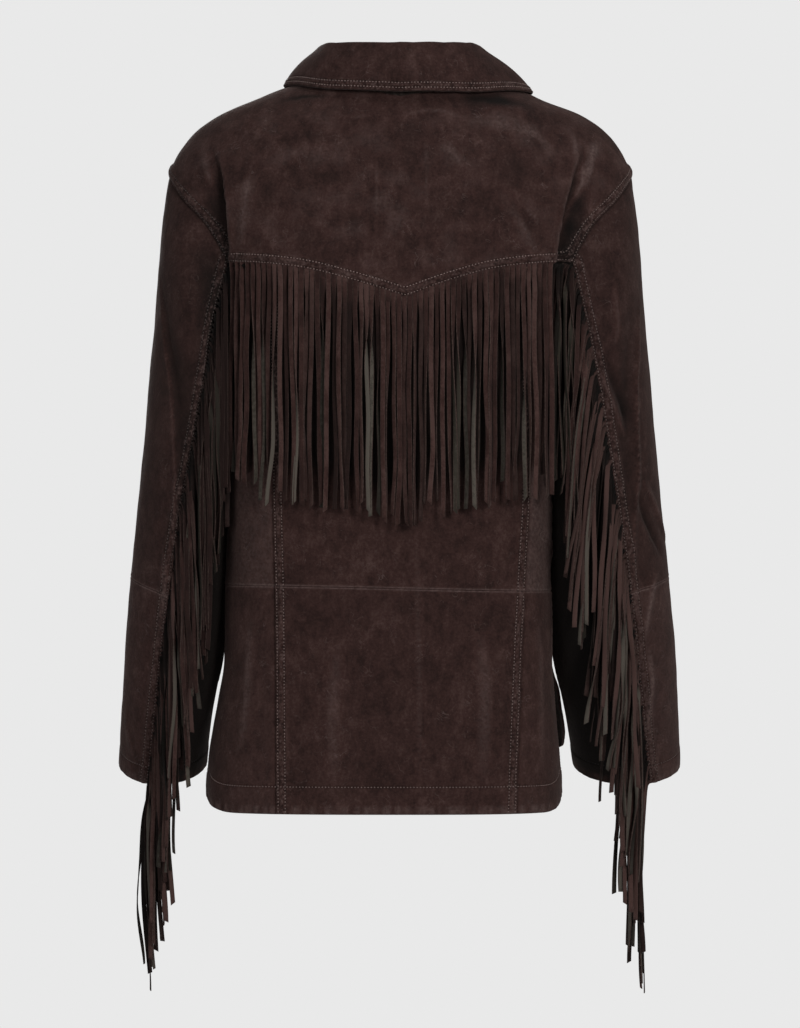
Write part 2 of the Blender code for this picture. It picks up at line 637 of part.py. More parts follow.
def hanging_back(across):
    """One upright line of the back fringe: it falls from the fullest level above it."""
    top = YOKE_SEAM.at("height", across) - SEAM_GAP
    line_points, reach = [], 0.0
    for height in np.linspace(top, top - BACK_FRINGE_LENGTH, BACK_FRINGE_ROWS + 1):
        body = torso_point(angle_at(across, height), height)
        if abs(body[0]) >= abs(across) * BODY_BEHIND:
            reach = max(reach, body[1] + BACK_FRINGE_CLEARANCE)
        line_points.append(np.array((across, reach, height)))
    return line_points


def make_back_fringe():
    inner = np.array([hanging_back(across)
                      for across in np.linspace(*BACK_FRINGE_ENDS, BACK_FRINGE_COLUMNS + 1)])
    inner = inner.swapaxes(0, 1)
    outer = inner.copy()
    for i in range(BACK_FRINGE_ROWS + 1):
        fill = (i / BACK_FRINGE_ROWS) ** FILL_POWER
        outer[i, :, 1] += FRINGE_HEADER + (BACK_FRINGE_DEPTH - FRINGE_HEADER) * fill
    wall("back_fringe", outer, inner, FRINGE_COLOR)


def make_sleeve_fringe(side, sign):
    rings, places = sleeve_curves(sign)
    start = places[1] * SLEEVE_FRINGE_START
    top = np.array([sleeve_at(rings, places, place)[0]
                    for place in np.linspace(start, places[CUFF_RING], SLEEVE_FRINGE_COLUMNS + 1)])
    drift = np.array([sign * SLEEVE_FRINGE_DRIFT.at(side, i / SLEEVE_FRINGE_COLUMNS)
                      for i in range(SLEEVE_FRINGE_COLUMNS + 1)])
    inner, outer = [], []
    for i in range(SLEEVE_FRINGE_ROWS + 1):
        fall = i / SLEEVE_FRINGE_ROWS
        row = top - (0.0, 0.0, SLEEVE_FRINGE_LENGTH * fall)
        row[:, 0] -= drift * fall
        depth = FRINGE_HEADER + (SLEEVE_FRINGE_DEPTH - FRINGE_HEADER) * fall ** FILL_POWER
        inner.append(row + (0.0, FRINGE_CLEARANCE, 0.0))
        outer.append(row + (0.0, FRINGE_CLEARANCE + depth, 0.0))
    wall("sleeve_fringe_" + side, np.array(outer), np.array(inner), FRINGE_COLOR)


def clear_scene():
    for old in list(bpy.data.objects):
        bpy.data.objects.remove(old, do_unlink=True)


def main():
    clear_scene()
    make_yoke()
    make_center_back()
    make_collar()
    make_back_fringe()
    for side, sign in SIDES:
        make_side_back(side, sign)
        make_front(side, sign)
        make_sleeve(side, sign)
        make_sleeve_fringe(side, sign)


main()
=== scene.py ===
"""Looks of the fringed suede jacket: fine suede panels with their seams, creases and stitches,
the cut fringe of the back and sleeves, and a plain studio stage.

Metres, +Z up.  The wearer's back faces +Y and the wearer's left is +X.  The section on the cut
repeats the construction of the CAD model: a point of the torso is named by an angle (0 centre
back, 90 left side) and a height, and a point of a sleeve by a place along it and a column
round it.
"""
import math

import bpy
import numpy as np
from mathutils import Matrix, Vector, noise
from mathutils.kdtree import KDTree


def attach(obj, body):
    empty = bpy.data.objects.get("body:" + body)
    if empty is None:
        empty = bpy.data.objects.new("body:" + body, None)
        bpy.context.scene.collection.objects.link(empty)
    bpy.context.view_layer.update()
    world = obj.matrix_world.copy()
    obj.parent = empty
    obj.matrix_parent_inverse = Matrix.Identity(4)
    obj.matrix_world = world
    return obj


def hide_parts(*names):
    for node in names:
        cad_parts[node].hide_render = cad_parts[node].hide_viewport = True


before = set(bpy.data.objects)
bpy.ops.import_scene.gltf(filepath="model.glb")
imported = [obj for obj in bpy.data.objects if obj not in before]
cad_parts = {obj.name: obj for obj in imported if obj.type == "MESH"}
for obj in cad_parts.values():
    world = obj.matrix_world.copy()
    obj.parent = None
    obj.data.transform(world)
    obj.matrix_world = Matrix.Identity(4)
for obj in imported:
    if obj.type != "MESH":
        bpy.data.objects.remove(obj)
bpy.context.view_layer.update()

# ---- the cut, as in the CAD model ---------------------------------------------------------
SUEDE = 0.0015             # wall of one layer of suede
COLLAR_SUEDE = 0.0024      # the collar is two layers
FINE = 4                   # seam lines are read this many times finer than in the CAD model
SIDE_ANGLE, FRONT_ANGLE = 90.0, 180.0
FRONT_EDGE = 0.004
WAIST_SEAM = -0.4922
WAIST_RISE = 0.021
VENT_TOP = -0.563
BACK_HEM = -0.7120
FRONT_HEM = -0.657
CORNER_ANGLE = 28.0
CORNER_RISE = 0.050
VENT_SWEEP, MIDDLE_SWEEP, HEM_SWEEP = 0.0, 45.0, 90.0      # where along its rounding
VENT_GAP_ANGLE = 0.6
SIDES = (("left", 1), ("right", -1))


def hermite(start, end, start_slope, end_slope, t):
    """Cubic from start to end with the given slopes, at t from 0 to 1."""
    t2, t3 = t * t, t * t * t
    return ((2 * t3 - 3 * t2 + 1) * start + (t3 - 2 * t2 + t) * start_slope
            + (3 * t2 - 2 * t3) * end + (t3 - t2) * end_slope)


def monotone_slopes(keys, values):
    """Slopes that keep the curve from swinging past its own values."""
    steps = np.diff(keys)
    rises = np.diff(values) / steps
    slopes = np.zeros(len(values))
    slopes[0], slopes[-1] = rises[0], rises[-1]
    for i in range(1, len(values) - 1):
        if rises[i - 1] * rises[i] > 0:
            before = 2 * steps[i] + steps[i - 1]
            after = steps[i] + 2 * steps[i - 1]
            slopes[i] = (before + after) / (before / rises[i - 1] + after / rises[i])
    return slopes


class Table:
    """Rows of named columns, read at any value of the first column as a smooth curve."""

    def __init__(self, names, rows):
        order = sorted(rows)
        self.keys = np.array([row[0] for row in order], dtype=float)
        self.columns = {}
        for place, name in enumerate(names):
            values = np.array([row[place] for row in order], dtype=float)
            self.columns[name] = (values, monotone_slopes(self.keys, values))

    def at(self, name, key):
        values, slopes = self.columns[name]
        key = np.clip(key, self.keys[0], self.keys[-1])
        low = np.searchsorted(self.keys, key, side="right") - 1
        low = np.clip(low, 0, len(self.keys) - 2)
        step = self.keys[low + 1] - self.keys[low]
        return hermite(values[low], values[low + 1], slopes[low] * step,
                       slopes[low + 1] * step, (key - self.keys[low]) / step)


# height | half width at the left and right | depth behind and ahead of the middle | power: 2
# is an oval, more is squarer | pinch: how far the arm presses
TORSO_ROWS = [
    (0.022, 0.074, 0.074, 0.054, 0.05, 2.0, 0.0),
    (0.012, 0.1, 0.1, 0.062, 0.055, 2.0, 0.0),
    (0.003, 0.125, 0.125, 0.068, 0.06, 2.0, 0.0),
    (-0.005, 0.143, 0.142, 0.073, 0.064, 2.0, 0.0),
    (-0.02, 0.18, 0.179, 0.08, 0.071, 2.0, 0.0),
    (-0.035, 0.203, 0.202, 0.086, 0.078, 2.05, 0.0),
    (-0.05, 0.216, 0.216, 0.092, 0.085, 2.1, 0.0),
    (-0.065, 0.225, 0.225, 0.097, 0.091, 2.2, 0.0),
    (-0.08, 0.23, 0.231, 0.101, 0.096, 2.3, 0.0),
    (-0.105, 0.226, 0.228, 0.107, 0.103, 2.5, 0.0),
    (-0.135, 0.206, 0.208, 0.112, 0.109, 2.7, 0.0),
    (-0.167, 0.185, 0.187, 0.116, 0.114, 2.9, 0.0),
    (-0.205, 0.171, 0.172, 0.117, 0.117, 3.0, 0.002),
    (-0.248, 0.166, 0.164, 0.116, 0.118, 3.0, 0.006),
    (-0.305, 0.17, 0.159, 0.113, 0.116, 3.0, 0.009),
    (-0.405, 0.176, 0.155, 0.109, 0.111, 3.0, 0.008),
    (-0.49, 0.1775, 0.154, 0.108, 0.109, 3.0, 0.006),
    (-0.563, 0.178, 0.1545, 0.111, 0.111, 3.0, 0.004),
    (-0.605, 0.1835, 0.1565, 0.113, 0.113, 3.0, 0.002),
    (-0.665, 0.191, 0.159, 0.116, 0.116, 3.0, 0.0),
    (-0.695, 0.1935, 0.1605, 0.118, 0.117, 3.0, 0.0),
    (-0.725, 0.1945, 0.1615, 0.119, 0.118, 3.0, 0.0)]
# half widths of the front, where they aren't the back's
FRONT_HALF = {-0.605: (0.181, 0.162), -0.665: (0.182, 0.1672),
              -0.695: (0.182, 0.1672), -0.725: (0.182, 0.1672)}
TORSO = Table(("height", "left", "right", "back", "front", "power", "pinch", "front_left",
               "front_right"),
              [row + FRONT_HALF.get(row[0], row[1:3]) for row in TORSO_ROWS])
PINCH_REACH = 0.055
YOKE_SEAM = Table(("across", "height"), [
    (-0.170, -0.1705), (-0.137, -0.1735), (-0.098, -0.1785), (-0.049, -0.1915),
    (-0.0065, -0.2065), (-0.005, -0.2070), (-0.0035, -0.2065),
    (0.049, -0.1905), (0.098, -0.1785), (0.137, -0.1735), (0.170, -0.1705)])
YOKE_POINT = -0.005
LONG_SEAM = Table(("height", "left", "right"), [
    (-0.175, 0.1285, -0.1285), (-0.405, 0.1245, -0.1275), (-0.490, 0.1225, -0.1225),
    (-0.712, 0.1205, -0.1135)])
# face of the torso | distance from the middle | height | seam steps to the next knot
ARMHOLE = [
    ("side", 0.230, -0.080, 3), ("back", 0.203, -0.119, 3), ("back", 0.170, -0.1705, 3),
    ("back", 0.160, -0.215, 2), ("side", 0.163, -0.248, 2), ("front", 0.160, -0.213, 3),
    ("front", 0.170, -0.165, 3), ("front", 0.207, -0.108, 3)]
BACK_KNOT, UNDERARM_KNOT, YOKE_FRONT_KNOT = 2, 4, 7
NECKLINE = Table(("angle", "height"), [
    (0.0, -0.0060), (45.0, 0.0030), (70.0, 0.0130), (90.0, 0.0170), (112.0, 0.0060),
    (140.0, -0.0280), (165.0, -0.0640), (180.0, -0.0840)])
CHEST_SEAM_NECK_ANGLE = 126.0
COLLAR = Table(("angle", "fold_out", "fold_up", "edge_angle", "edge_height", "edge_off"), [
    (0.0, 0.003, 0.0515, 0.0, -0.0030, 0.0130),
    (45.0, -0.003, 0.0440, 45.0, 0.0010, 0.0110),
    (75.0, -0.009, 0.0330, 76.0, 0.0085, 0.0085),
    (95.0, -0.009, 0.0285, 95.0, 0.0090, 0.0085),
    (120.0, -0.005, 0.0270, 115.0, -0.0140, 0.0085),
    (150.0, 0.003, 0.0190, 137.0, -0.0600, 0.0090),
    (180.0, 0.006, 0.0130, 153.0, -0.1120, 0.0100),
])
COLLAR_RIGHT_DROOP = 0.006
COLLAR_REST = 0.0007
FOLD_HALF = 0.0042
FALL_BULGE = 0.002
FOLD_DEPTH = 0.0065
SLEEVE_NAMES = ("ring", "outer", "outer_z", "inner_left", "inner_right", "inner_z", "middle",
                "depth", "drop", "seam_left", "seam_right")
SLEEVE = [
    (1, 0.238, -0.135, 0.1640, 0.1605, -0.275, 0.000, 0.0750, 0.000, -26, -22),
    (2, 0.244, -0.215, 0.1646, 0.1521, -0.318, 0.002, 0.0740, 0.000, -19, -7),
    (3, 0.252, -0.305, 0.1678, 0.1501, -0.365, 0.004, 0.0700, 0.002, -11, 2),
    (4, 0.260, -0.395, 0.1709, 0.1492, -0.432, 0.005, 0.0660, 0.004, 1, 11),
    (5, 0.269, -0.481, 0.1734, 0.1501, -0.508, 0.003, 0.0620, 0.007, 8, 17),
    (6, 0.275, -0.545, 0.1780, 0.1545, -0.563, -0.006, 0.0590, 0.010, 11, 19),
    (7, 0.279, -0.607, 0.1880, 0.1656, -0.618, -0.020, 0.0560, 0.014, 12, 19),
    (8, 0.282, -0.670, 0.1945, 0.1740, -0.669, -0.036, 0.0540, 0.019, 16, 23),
]
FRONT_SEAM_ANGLE = 200.0
ELBOW_RING, CUFF_RING = 5, 8
ARMHOLE_LIFT = 0.0004

CENTER_STEPS, SIDE_STEPS = 12 * FINE, 6 * FINE
YOKE_STEPS = 6 * FINE
SIDE_SEAM_STEPS, VENT_SIDE_STEPS = 4 * FINE, 2 * FINE
VENT_STEPS, CORNER_STEPS = 3 * FINE, 3 * FINE
NECK_STEPS_FRONT = 5 * FINE
UPPER_STEPS = SIDE_SEAM_STEPS + 5 * FINE
LOWER_STEPS = CORNER_STEPS + VENT_STEPS + VENT_SIDE_STEPS
FRONT_HEM_STEPS = NECK_STEPS_FRONT + YOKE_STEPS - CORNER_STEPS
TOP_COLUMNS, UNDER_COLUMNS = 12 * FINE, 10 * FINE
ALL_COLUMNS = TOP_COLUMNS + UNDER_COLUMNS
TURN_SAMPLES = 361         # of a quarter of the torso, where an angle is looked up
# a normal is taken across this much of the torso, and of a sleeve
TORSO_TURN, TORSO_RISE, SLEEVE_COLUMNS, SLEEVE_RISE = 0.3, 0.001, 1.5, 0.004
LAST_COLUMN_SHORT = 1e-6   # the last column isn't read as the first
AXIS_COLUMNS = 12          # of a sleeve, whose mean is its middle


def torso_point(angle, height):
    """The outside of the torso at angles (degrees) and heights."""
    angle, height = np.broadcast_arrays(np.asarray(angle, float), np.asarray(height, float))
    turn = np.radians(np.abs(angle))
    across, along = np.sin(turn), np.cos(turn)
    left, behind = angle >= 0, along >= 0
    half_back = np.where(left, TORSO.at("left", height), TORSO.at("right", height))
    half_front = np.where(left, TORSO.at("front_left", height), TORSO.at("front_right", height))
    half = np.where(behind, half_back, half_front)
    depth = np.where(behind, TORSO.at("back", height), TORSO.at("front", height))
    power = TORSO.at("power", height)
    reach = ((across / half) ** power + (np.abs(along) / depth) ** power) ** (-1 / power)
    x, y = reach * across, reach * along
    x = x - TORSO.at("pinch", height) * across * np.exp(-(y / PINCH_REACH) ** 2)
    return np.stack((np.copysign(x, angle), y, height), axis=-1)


def torso_normal(angle, height):
    """Unit normals of the torso, pointing out."""
    around = torso_point(angle + TORSO_TURN, height) - torso_point(angle - TORSO_TURN, height)
    along = torso_point(angle, height + TORSO_RISE) - torso_point(angle, height - TORSO_RISE)
    normal = np.cross(along, around)
    out = (normal[..., :2] * torso_point(angle, height)[..., :2]).sum(axis=-1, keepdims=True)
    return unit(normal * np.sign(out))


def torso_surface(values):
    return (torso_point(values[..., 0], values[..., 1]),
            torso_normal(values[..., 0], values[..., 1]))


def unit(vectors):
    return vectors / np.linalg.norm(vectors, axis=-1, keepdims=True)


def angle_at(across, height, face="back"):
    """The angle whose torso point lies this far from the middle (left is +)."""
    turns = np.linspace(0 if face == "back" else FRONT_ANGLE, SIDE_ANGLE, TURN_SAMPLES)
    sign = math.copysign(1.0, across)
    reached = np.abs(torso_point(sign * turns, height)[:, 0])
    over = np.nonzero(reached >= abs(across))[0]
    if not len(over):
        return sign * SIDE_ANGLE
    i = max(over[0], 1)
    share = (abs(across) - reached[i - 1]) / (reached[i] - reached[i - 1])
    return sign * (turns[i - 1] + share * (turns[i] - turns[i - 1]))


def line(start, end, steps):
    """Evenly spaced points of a straight seam."""
    return [tuple(np.array(start) + (np.array(end) - np.array(start)) * i / steps)
            for i in range(steps + 1)]


def yoke_seam(start, end, steps):
    points = []
    for across in np.linspace(start, end, steps + 1):
        height = YOKE_SEAM.at("height", across)
        points.append((angle_at(across, height), height))
    return points


def armhole_points(sign, first, last):
    """Points of the armhole seam from knot to knot, going down the back and up the front."""
    knots = []
    for face, across, height, _ in ARMHOLE:
        angle = SIDE_ANGLE if face == "side" else abs(angle_at(sign * across, height, face))
        knots.append(np.array((sign * angle, height)))
    points = []
    count = len(knots)
    while last <= first:
        last += count
    for k in range(first, last):
        steps = ARMHOLE[k % count][3] * FINE
        before, start, end, after = (knots[(k + j) % count] for j in (-1, 0, 1, 2))
        for i in range(steps):
            points.append(tuple(hermite(start, end, (end - before) / 2, (after - start) / 2,
                                        i / steps)))
    points.append(tuple(knots[last % count]))
    return points


def neckline(start, end, steps):
    return [(angle, NECKLINE.at("height", abs(angle)))
            for angle in np.linspace(start, end, steps + 1)]


def front_edge(sign, height):
    return (angle_at(sign * FRONT_EDGE, height, "front"), height)


def corner(sign, hem, start, turn, first, last):
    """Points of a rounded hem corner, between two sweep angles from the vent to the hem."""
    points = []
    for i in range(CORNER_STEPS + 1):
        sweep = math.radians(first + (last - first) * i / CORNER_STEPS)
        points.append((sign * (start - turn * CORNER_ANGLE * (1 - math.cos(sweep))),
                       hem + CORNER_RISE * (1 - math.sin(sweep))))
    return points


def seam_reach(side):
    across = LONG_SEAM.at(side, 0.0)
    return across, YOKE_SEAM.at("height", across)


def yoke_corner(sign):
    return sign * ARMHOLE[BACK_KNOT][1]


def long_seam_points(side, bottom, top, steps):
    return [(angle_at(LONG_SEAM.at(side, height), height), height)
            for height in np.linspace(bottom, top, steps + 1)]


def waist_height(across):
    return WAIST_SEAM + WAIST_RISE * across


def side_waist(sign):
    return (sign * SIDE_ANGLE, waist_height(torso_point(sign * SIDE_ANGLE, WAIST_SEAM)[0]))


def waist_crossing(side):
    return waist_height(LONG_SEAM.at(side, WAIST_SEAM))


def chest_seam(sign):
    start = armhole_points(sign, YOKE_FRONT_KNOT, BACK_KNOT)[0]
    neck = sign * CHEST_SEAM_NECK_ANGLE
    return line(start, (neck, NECKLINE.at("height", CHEST_SEAM_NECK_ANGLE)), YOKE_STEPS)


def vent_edges(sign, hem, turn):
    """The edges from the hem corner's middle up to the waist: vent with half corner, seam."""
    start = SIDE_ANGLE - turn * VENT_GAP_ANGLE
    half_corner = corner(sign, hem, start, turn, MIDDLE_SWEEP, VENT_SWEEP)
    vent = line(half_corner[-1], (sign * SIDE_ANGLE, VENT_TOP), VENT_STEPS)
    return half_corner + vent[1:], line(vent[-1], side_waist(sign), VENT_SIDE_STEPS)


def hem_edge(sign, hem, turn, start_angle, steps):
    """The hem from an angle to the middle of its rounded corner."""
    half_corner = corner(sign, hem, SIDE_ANGLE - turn * VENT_GAP_ANGLE, turn, HEM_SWEEP,
                         MIDDLE_SWEEP)
    return line((start_angle, hem), half_corner[0], steps) + half_corner[1:]


class Sleeve:
    """The tube of one sleeve, read at places along it and columns round it."""

    def __init__(self, side, sign):
        armhole = np.array(armhole_points(sign, BACK_KNOT, BACK_KNOT)[::-1])
        points, normals = torso_surface(armhole)
        rings = [points + normals * ARMHOLE_LIFT]
        for row in SLEEVE:
            ring = dict(zip(SLEEVE_NAMES, row))
            outer = np.array((sign * ring["outer"], ring["middle"], ring["outer_z"]))
            inner = np.array((sign * ring["inner_" + side], ring["middle"], ring["inner_z"]))
            back = np.array((0.0, ring["depth"], -ring["drop"]))
            seam = ring["seam_" + side]
            turns = np.linspace(seam, FRONT_SEAM_ANGLE, TOP_COLUMNS + 1)
            turns = np.append(turns, np.linspace(FRONT_SEAM_ANGLE, 360.0 + seam,
                                                 UNDER_COLUMNS + 1)[1:])
            turns = np.radians(turns)[:, None]
            rings.append((outer + inner) / 2 + (outer - inner) / 2 * np.sin(turns)
                         + back * np.cos(turns))
        self.rings = np.array(rings)
        steps = np.linalg.norm(np.diff(self.rings, axis=0), axis=2).mean(axis=1)
        self.places = np.concatenate(([0.0], np.cumsum(steps)))
        self.slopes = np.zeros_like(self.rings)
        last = len(self.places) - 1
        for i in range(last + 1):
            before, after = max(i - 1, 0), min(i + 1, last)
            self.slopes[i] = ((self.rings[after] - self.rings[before])
                              / (self.places[after] - self.places[before]))

    def point(self, place, column):
        place = np.clip(place, 0.0, self.places[-1])
        column = np.mod(column, ALL_COLUMNS)
        low = np.clip(np.searchsorted(self.places, place, side="right") - 1, 0,
                      len(self.places) - 2)
        step = (self.places[low + 1] - self.places[low])[..., None]
        t = (place - self.places[low])[..., None] / step
        first = np.clip(np.floor(column).astype(int), 0, ALL_COLUMNS - 1)
        found = 0.0
        for nearby, weight in ((first, 1 - (column - first)), (first + 1, column - first)):
            found = found + weight[..., None] * hermite(
                self.rings[low, nearby], self.rings[low + 1, nearby],
                self.slopes[low, nearby] * step, self.slopes[low + 1, nearby] * step, t)
        return found

    def surface(self, values):
        place, column = values[..., 0], values[..., 1]
        points = self.point(place, np.clip(column, 0, ALL_COLUMNS - LAST_COLUMN_SHORT))
        around = (self.point(place, column + SLEEVE_COLUMNS)
                  - self.point(place, column - SLEEVE_COLUMNS))
        along = self.point(place + SLEEVE_RISE, column) - self.point(place - SLEEVE_RISE, column)
        normals = unit(np.cross(around, along))
        columns = np.linspace(0, ALL_COLUMNS, AXIS_COLUMNS, endpoint=False)
        columns = np.broadcast_to(columns, place.shape + (AXIS_COLUMNS,))
        middle = self.point(place[..., None], columns)
        out = points - middle.mean(axis=-2)
        return points, normals * np.sign((normals * out).sum(axis=-1, keepdims=True))


SLEEVES = {side: Sleeve(side, sign) for side, sign in SIDES}

# ---- seams: what the cloth does near each kind of edge --------------------------------------
# distances from an edge of each kind at which the grid has lines
PLAIN_LINES = (0.00015, 0.0005, 0.001, 0.002, 0.0035, 0.0055, 0.0085)
STRIP_LINES = (0.00015, 0.0005, 0.001, 0.0018, 0.0026, 0.0038, 0.0053, 0.0068, 0.0080, 0.0088,
               0.0096, 0.0110, 0.0127, 0.0150)
HEM_LINES = (0.00015, 0.0005, 0.001, 0.003, 0.006, 0.009, 0.012, 0.016, 0.020, 0.0232, 0.0250,
             0.0260, 0.0270, 0.0290, 0.032)
CUFF_LINES = (0.00015, 0.0005, 0.001, 0.003, 0.006, 0.009, 0.012, 0.0150, 0.0168, 0.0178,
              0.0188, 0.0205, 0.023)
LINES = {"plain": PLAIN_LINES, "under": PLAIN_LINES, "strip": STRIP_LINES, "hem": HEM_LINES,
         "cuff": CUFF_LINES, "free": STRIP_LINES, "neck": PLAIN_LINES, "collar": STRIP_LINES}
STITCH_ROWS = {"strip": (0.0018, 0.0088), "hem": (0.0260,), "cuff": (0.0178,),
               "free": (0.0080,), "collar": (0.0032, 0.0080)}
STRIP_RISE = 0.0014        # seam allowances under a topstitched strip
STRIP_WIDTH = (0.0100, 0.0124)
STRIP_PUFF = 0.0005        # between its rows of stitches
HEM_RISE = 0.0005          # the turned-up layer, which ends this far round the row of stitches
HEM_END = (-0.001, 0.0025)
# grooves: distance from the edge, or none where they follow the stitches | width | depth
STRIP_GROOVE, HEM_GROOVE = (0.0008, 0.0006), (0.0009, 0.0006)
UNDER_GROOVE = (0.0, 0.0030, 0.0006)
PLAIN_GROOVE, PLAIN_RIDGE = (0.0, 0.0010, 0.0003), (0.0016, 0.0012, -0.0004)
# how far in from an edge its cloth turns down
EDGE_ROUND = {"plain": 0.0004, "under": 0.0003, "neck": 0.0003, "strip": 0.0009, "hem": 0.0008,
              "cuff": 0.0008, "free": 0.0008, "collar": 0.0010}


def smooth(low, high, values):
    t = np.clip((values - low) / (high - low), 0, 1)
    return t * t * (3 - 2 * t)


def bell(values, width):
    return np.exp(-(values / width) ** 2)


def groove(distance, middle, width, depth):
    return -depth * bell(distance - middle, width)


def seam_profile(kind, d):
    """How far the cloth stands out at a distance from an edge of this kind."""
    if kind in ("strip", "collar"):
        first, last = STITCH_ROWS[kind]
        rise = STRIP_RISE * (1 - smooth(*STRIP_WIDTH, d)) if kind == "strip" else 0.0
        puff = STRIP_PUFF * np.sin(np.pi * np.clip((d - first) / (last - first), 0, 1))
        return rise + puff + sum(groove(d, row, *STRIP_GROOVE) for row in STITCH_ROWS[kind])
    if kind == "under":
        return groove(d, *UNDER_GROOVE)
    if kind == "plain":
        return groove(d, *PLAIN_GROOVE) + groove(d, *PLAIN_RIDGE)
    if kind in ("hem", "cuff", "free"):
        row = STITCH_ROWS[kind][0]
        rise = HEM_RISE * (1 - smooth(row + HEM_END[0], row + HEM_END[1], d))
        return rise + groove(d, row, *HEM_GROOVE)
    return np.zeros_like(d)


LINE_STEP = 0.0008         # between the points of a line that distances are taken from


def distance_to(points, targets):
    """How far each of a grid of points is from the nearest of the target points."""
    tree = KDTree(len(targets))
    for i, target in enumerate(targets):
        tree.insert(target, i)
    tree.balance()
    flat = points.reshape(-1, 3)
    return np.array([tree.find(point)[2] for point in flat]).reshape(points.shape[:-1])


def close_line(points, step=LINE_STEP):
    """A line of points, filled in so that they are about a step apart."""
    along = np.concatenate(([0.0], np.cumsum(np.linalg.norm(np.diff(points, axis=0), axis=1))))
    at = np.linspace(0.0, along[-1], max(2, int(along[-1] / step)))
    return np.stack([np.interp(at, along, points[:, k]) for k in range(3)], axis=1)


# ---- folds and creases ------------------------------------------------------------------------
def crease(half_width, crest, *points, side=0, shade=0.0):
    """A crease through points seen from its face: (distance from the middle, height).

    Its crest is this high, or a trough if that is below 0.  With side +1 or -1 it is a pleat's
    edge, and the cloth drops away on that side.  Shade is the painted shade there, beside a
    pleat's edge and along other creases; below 0 the cloth is rubbed there instead.
    """
    return points, half_width, crest, side, shade


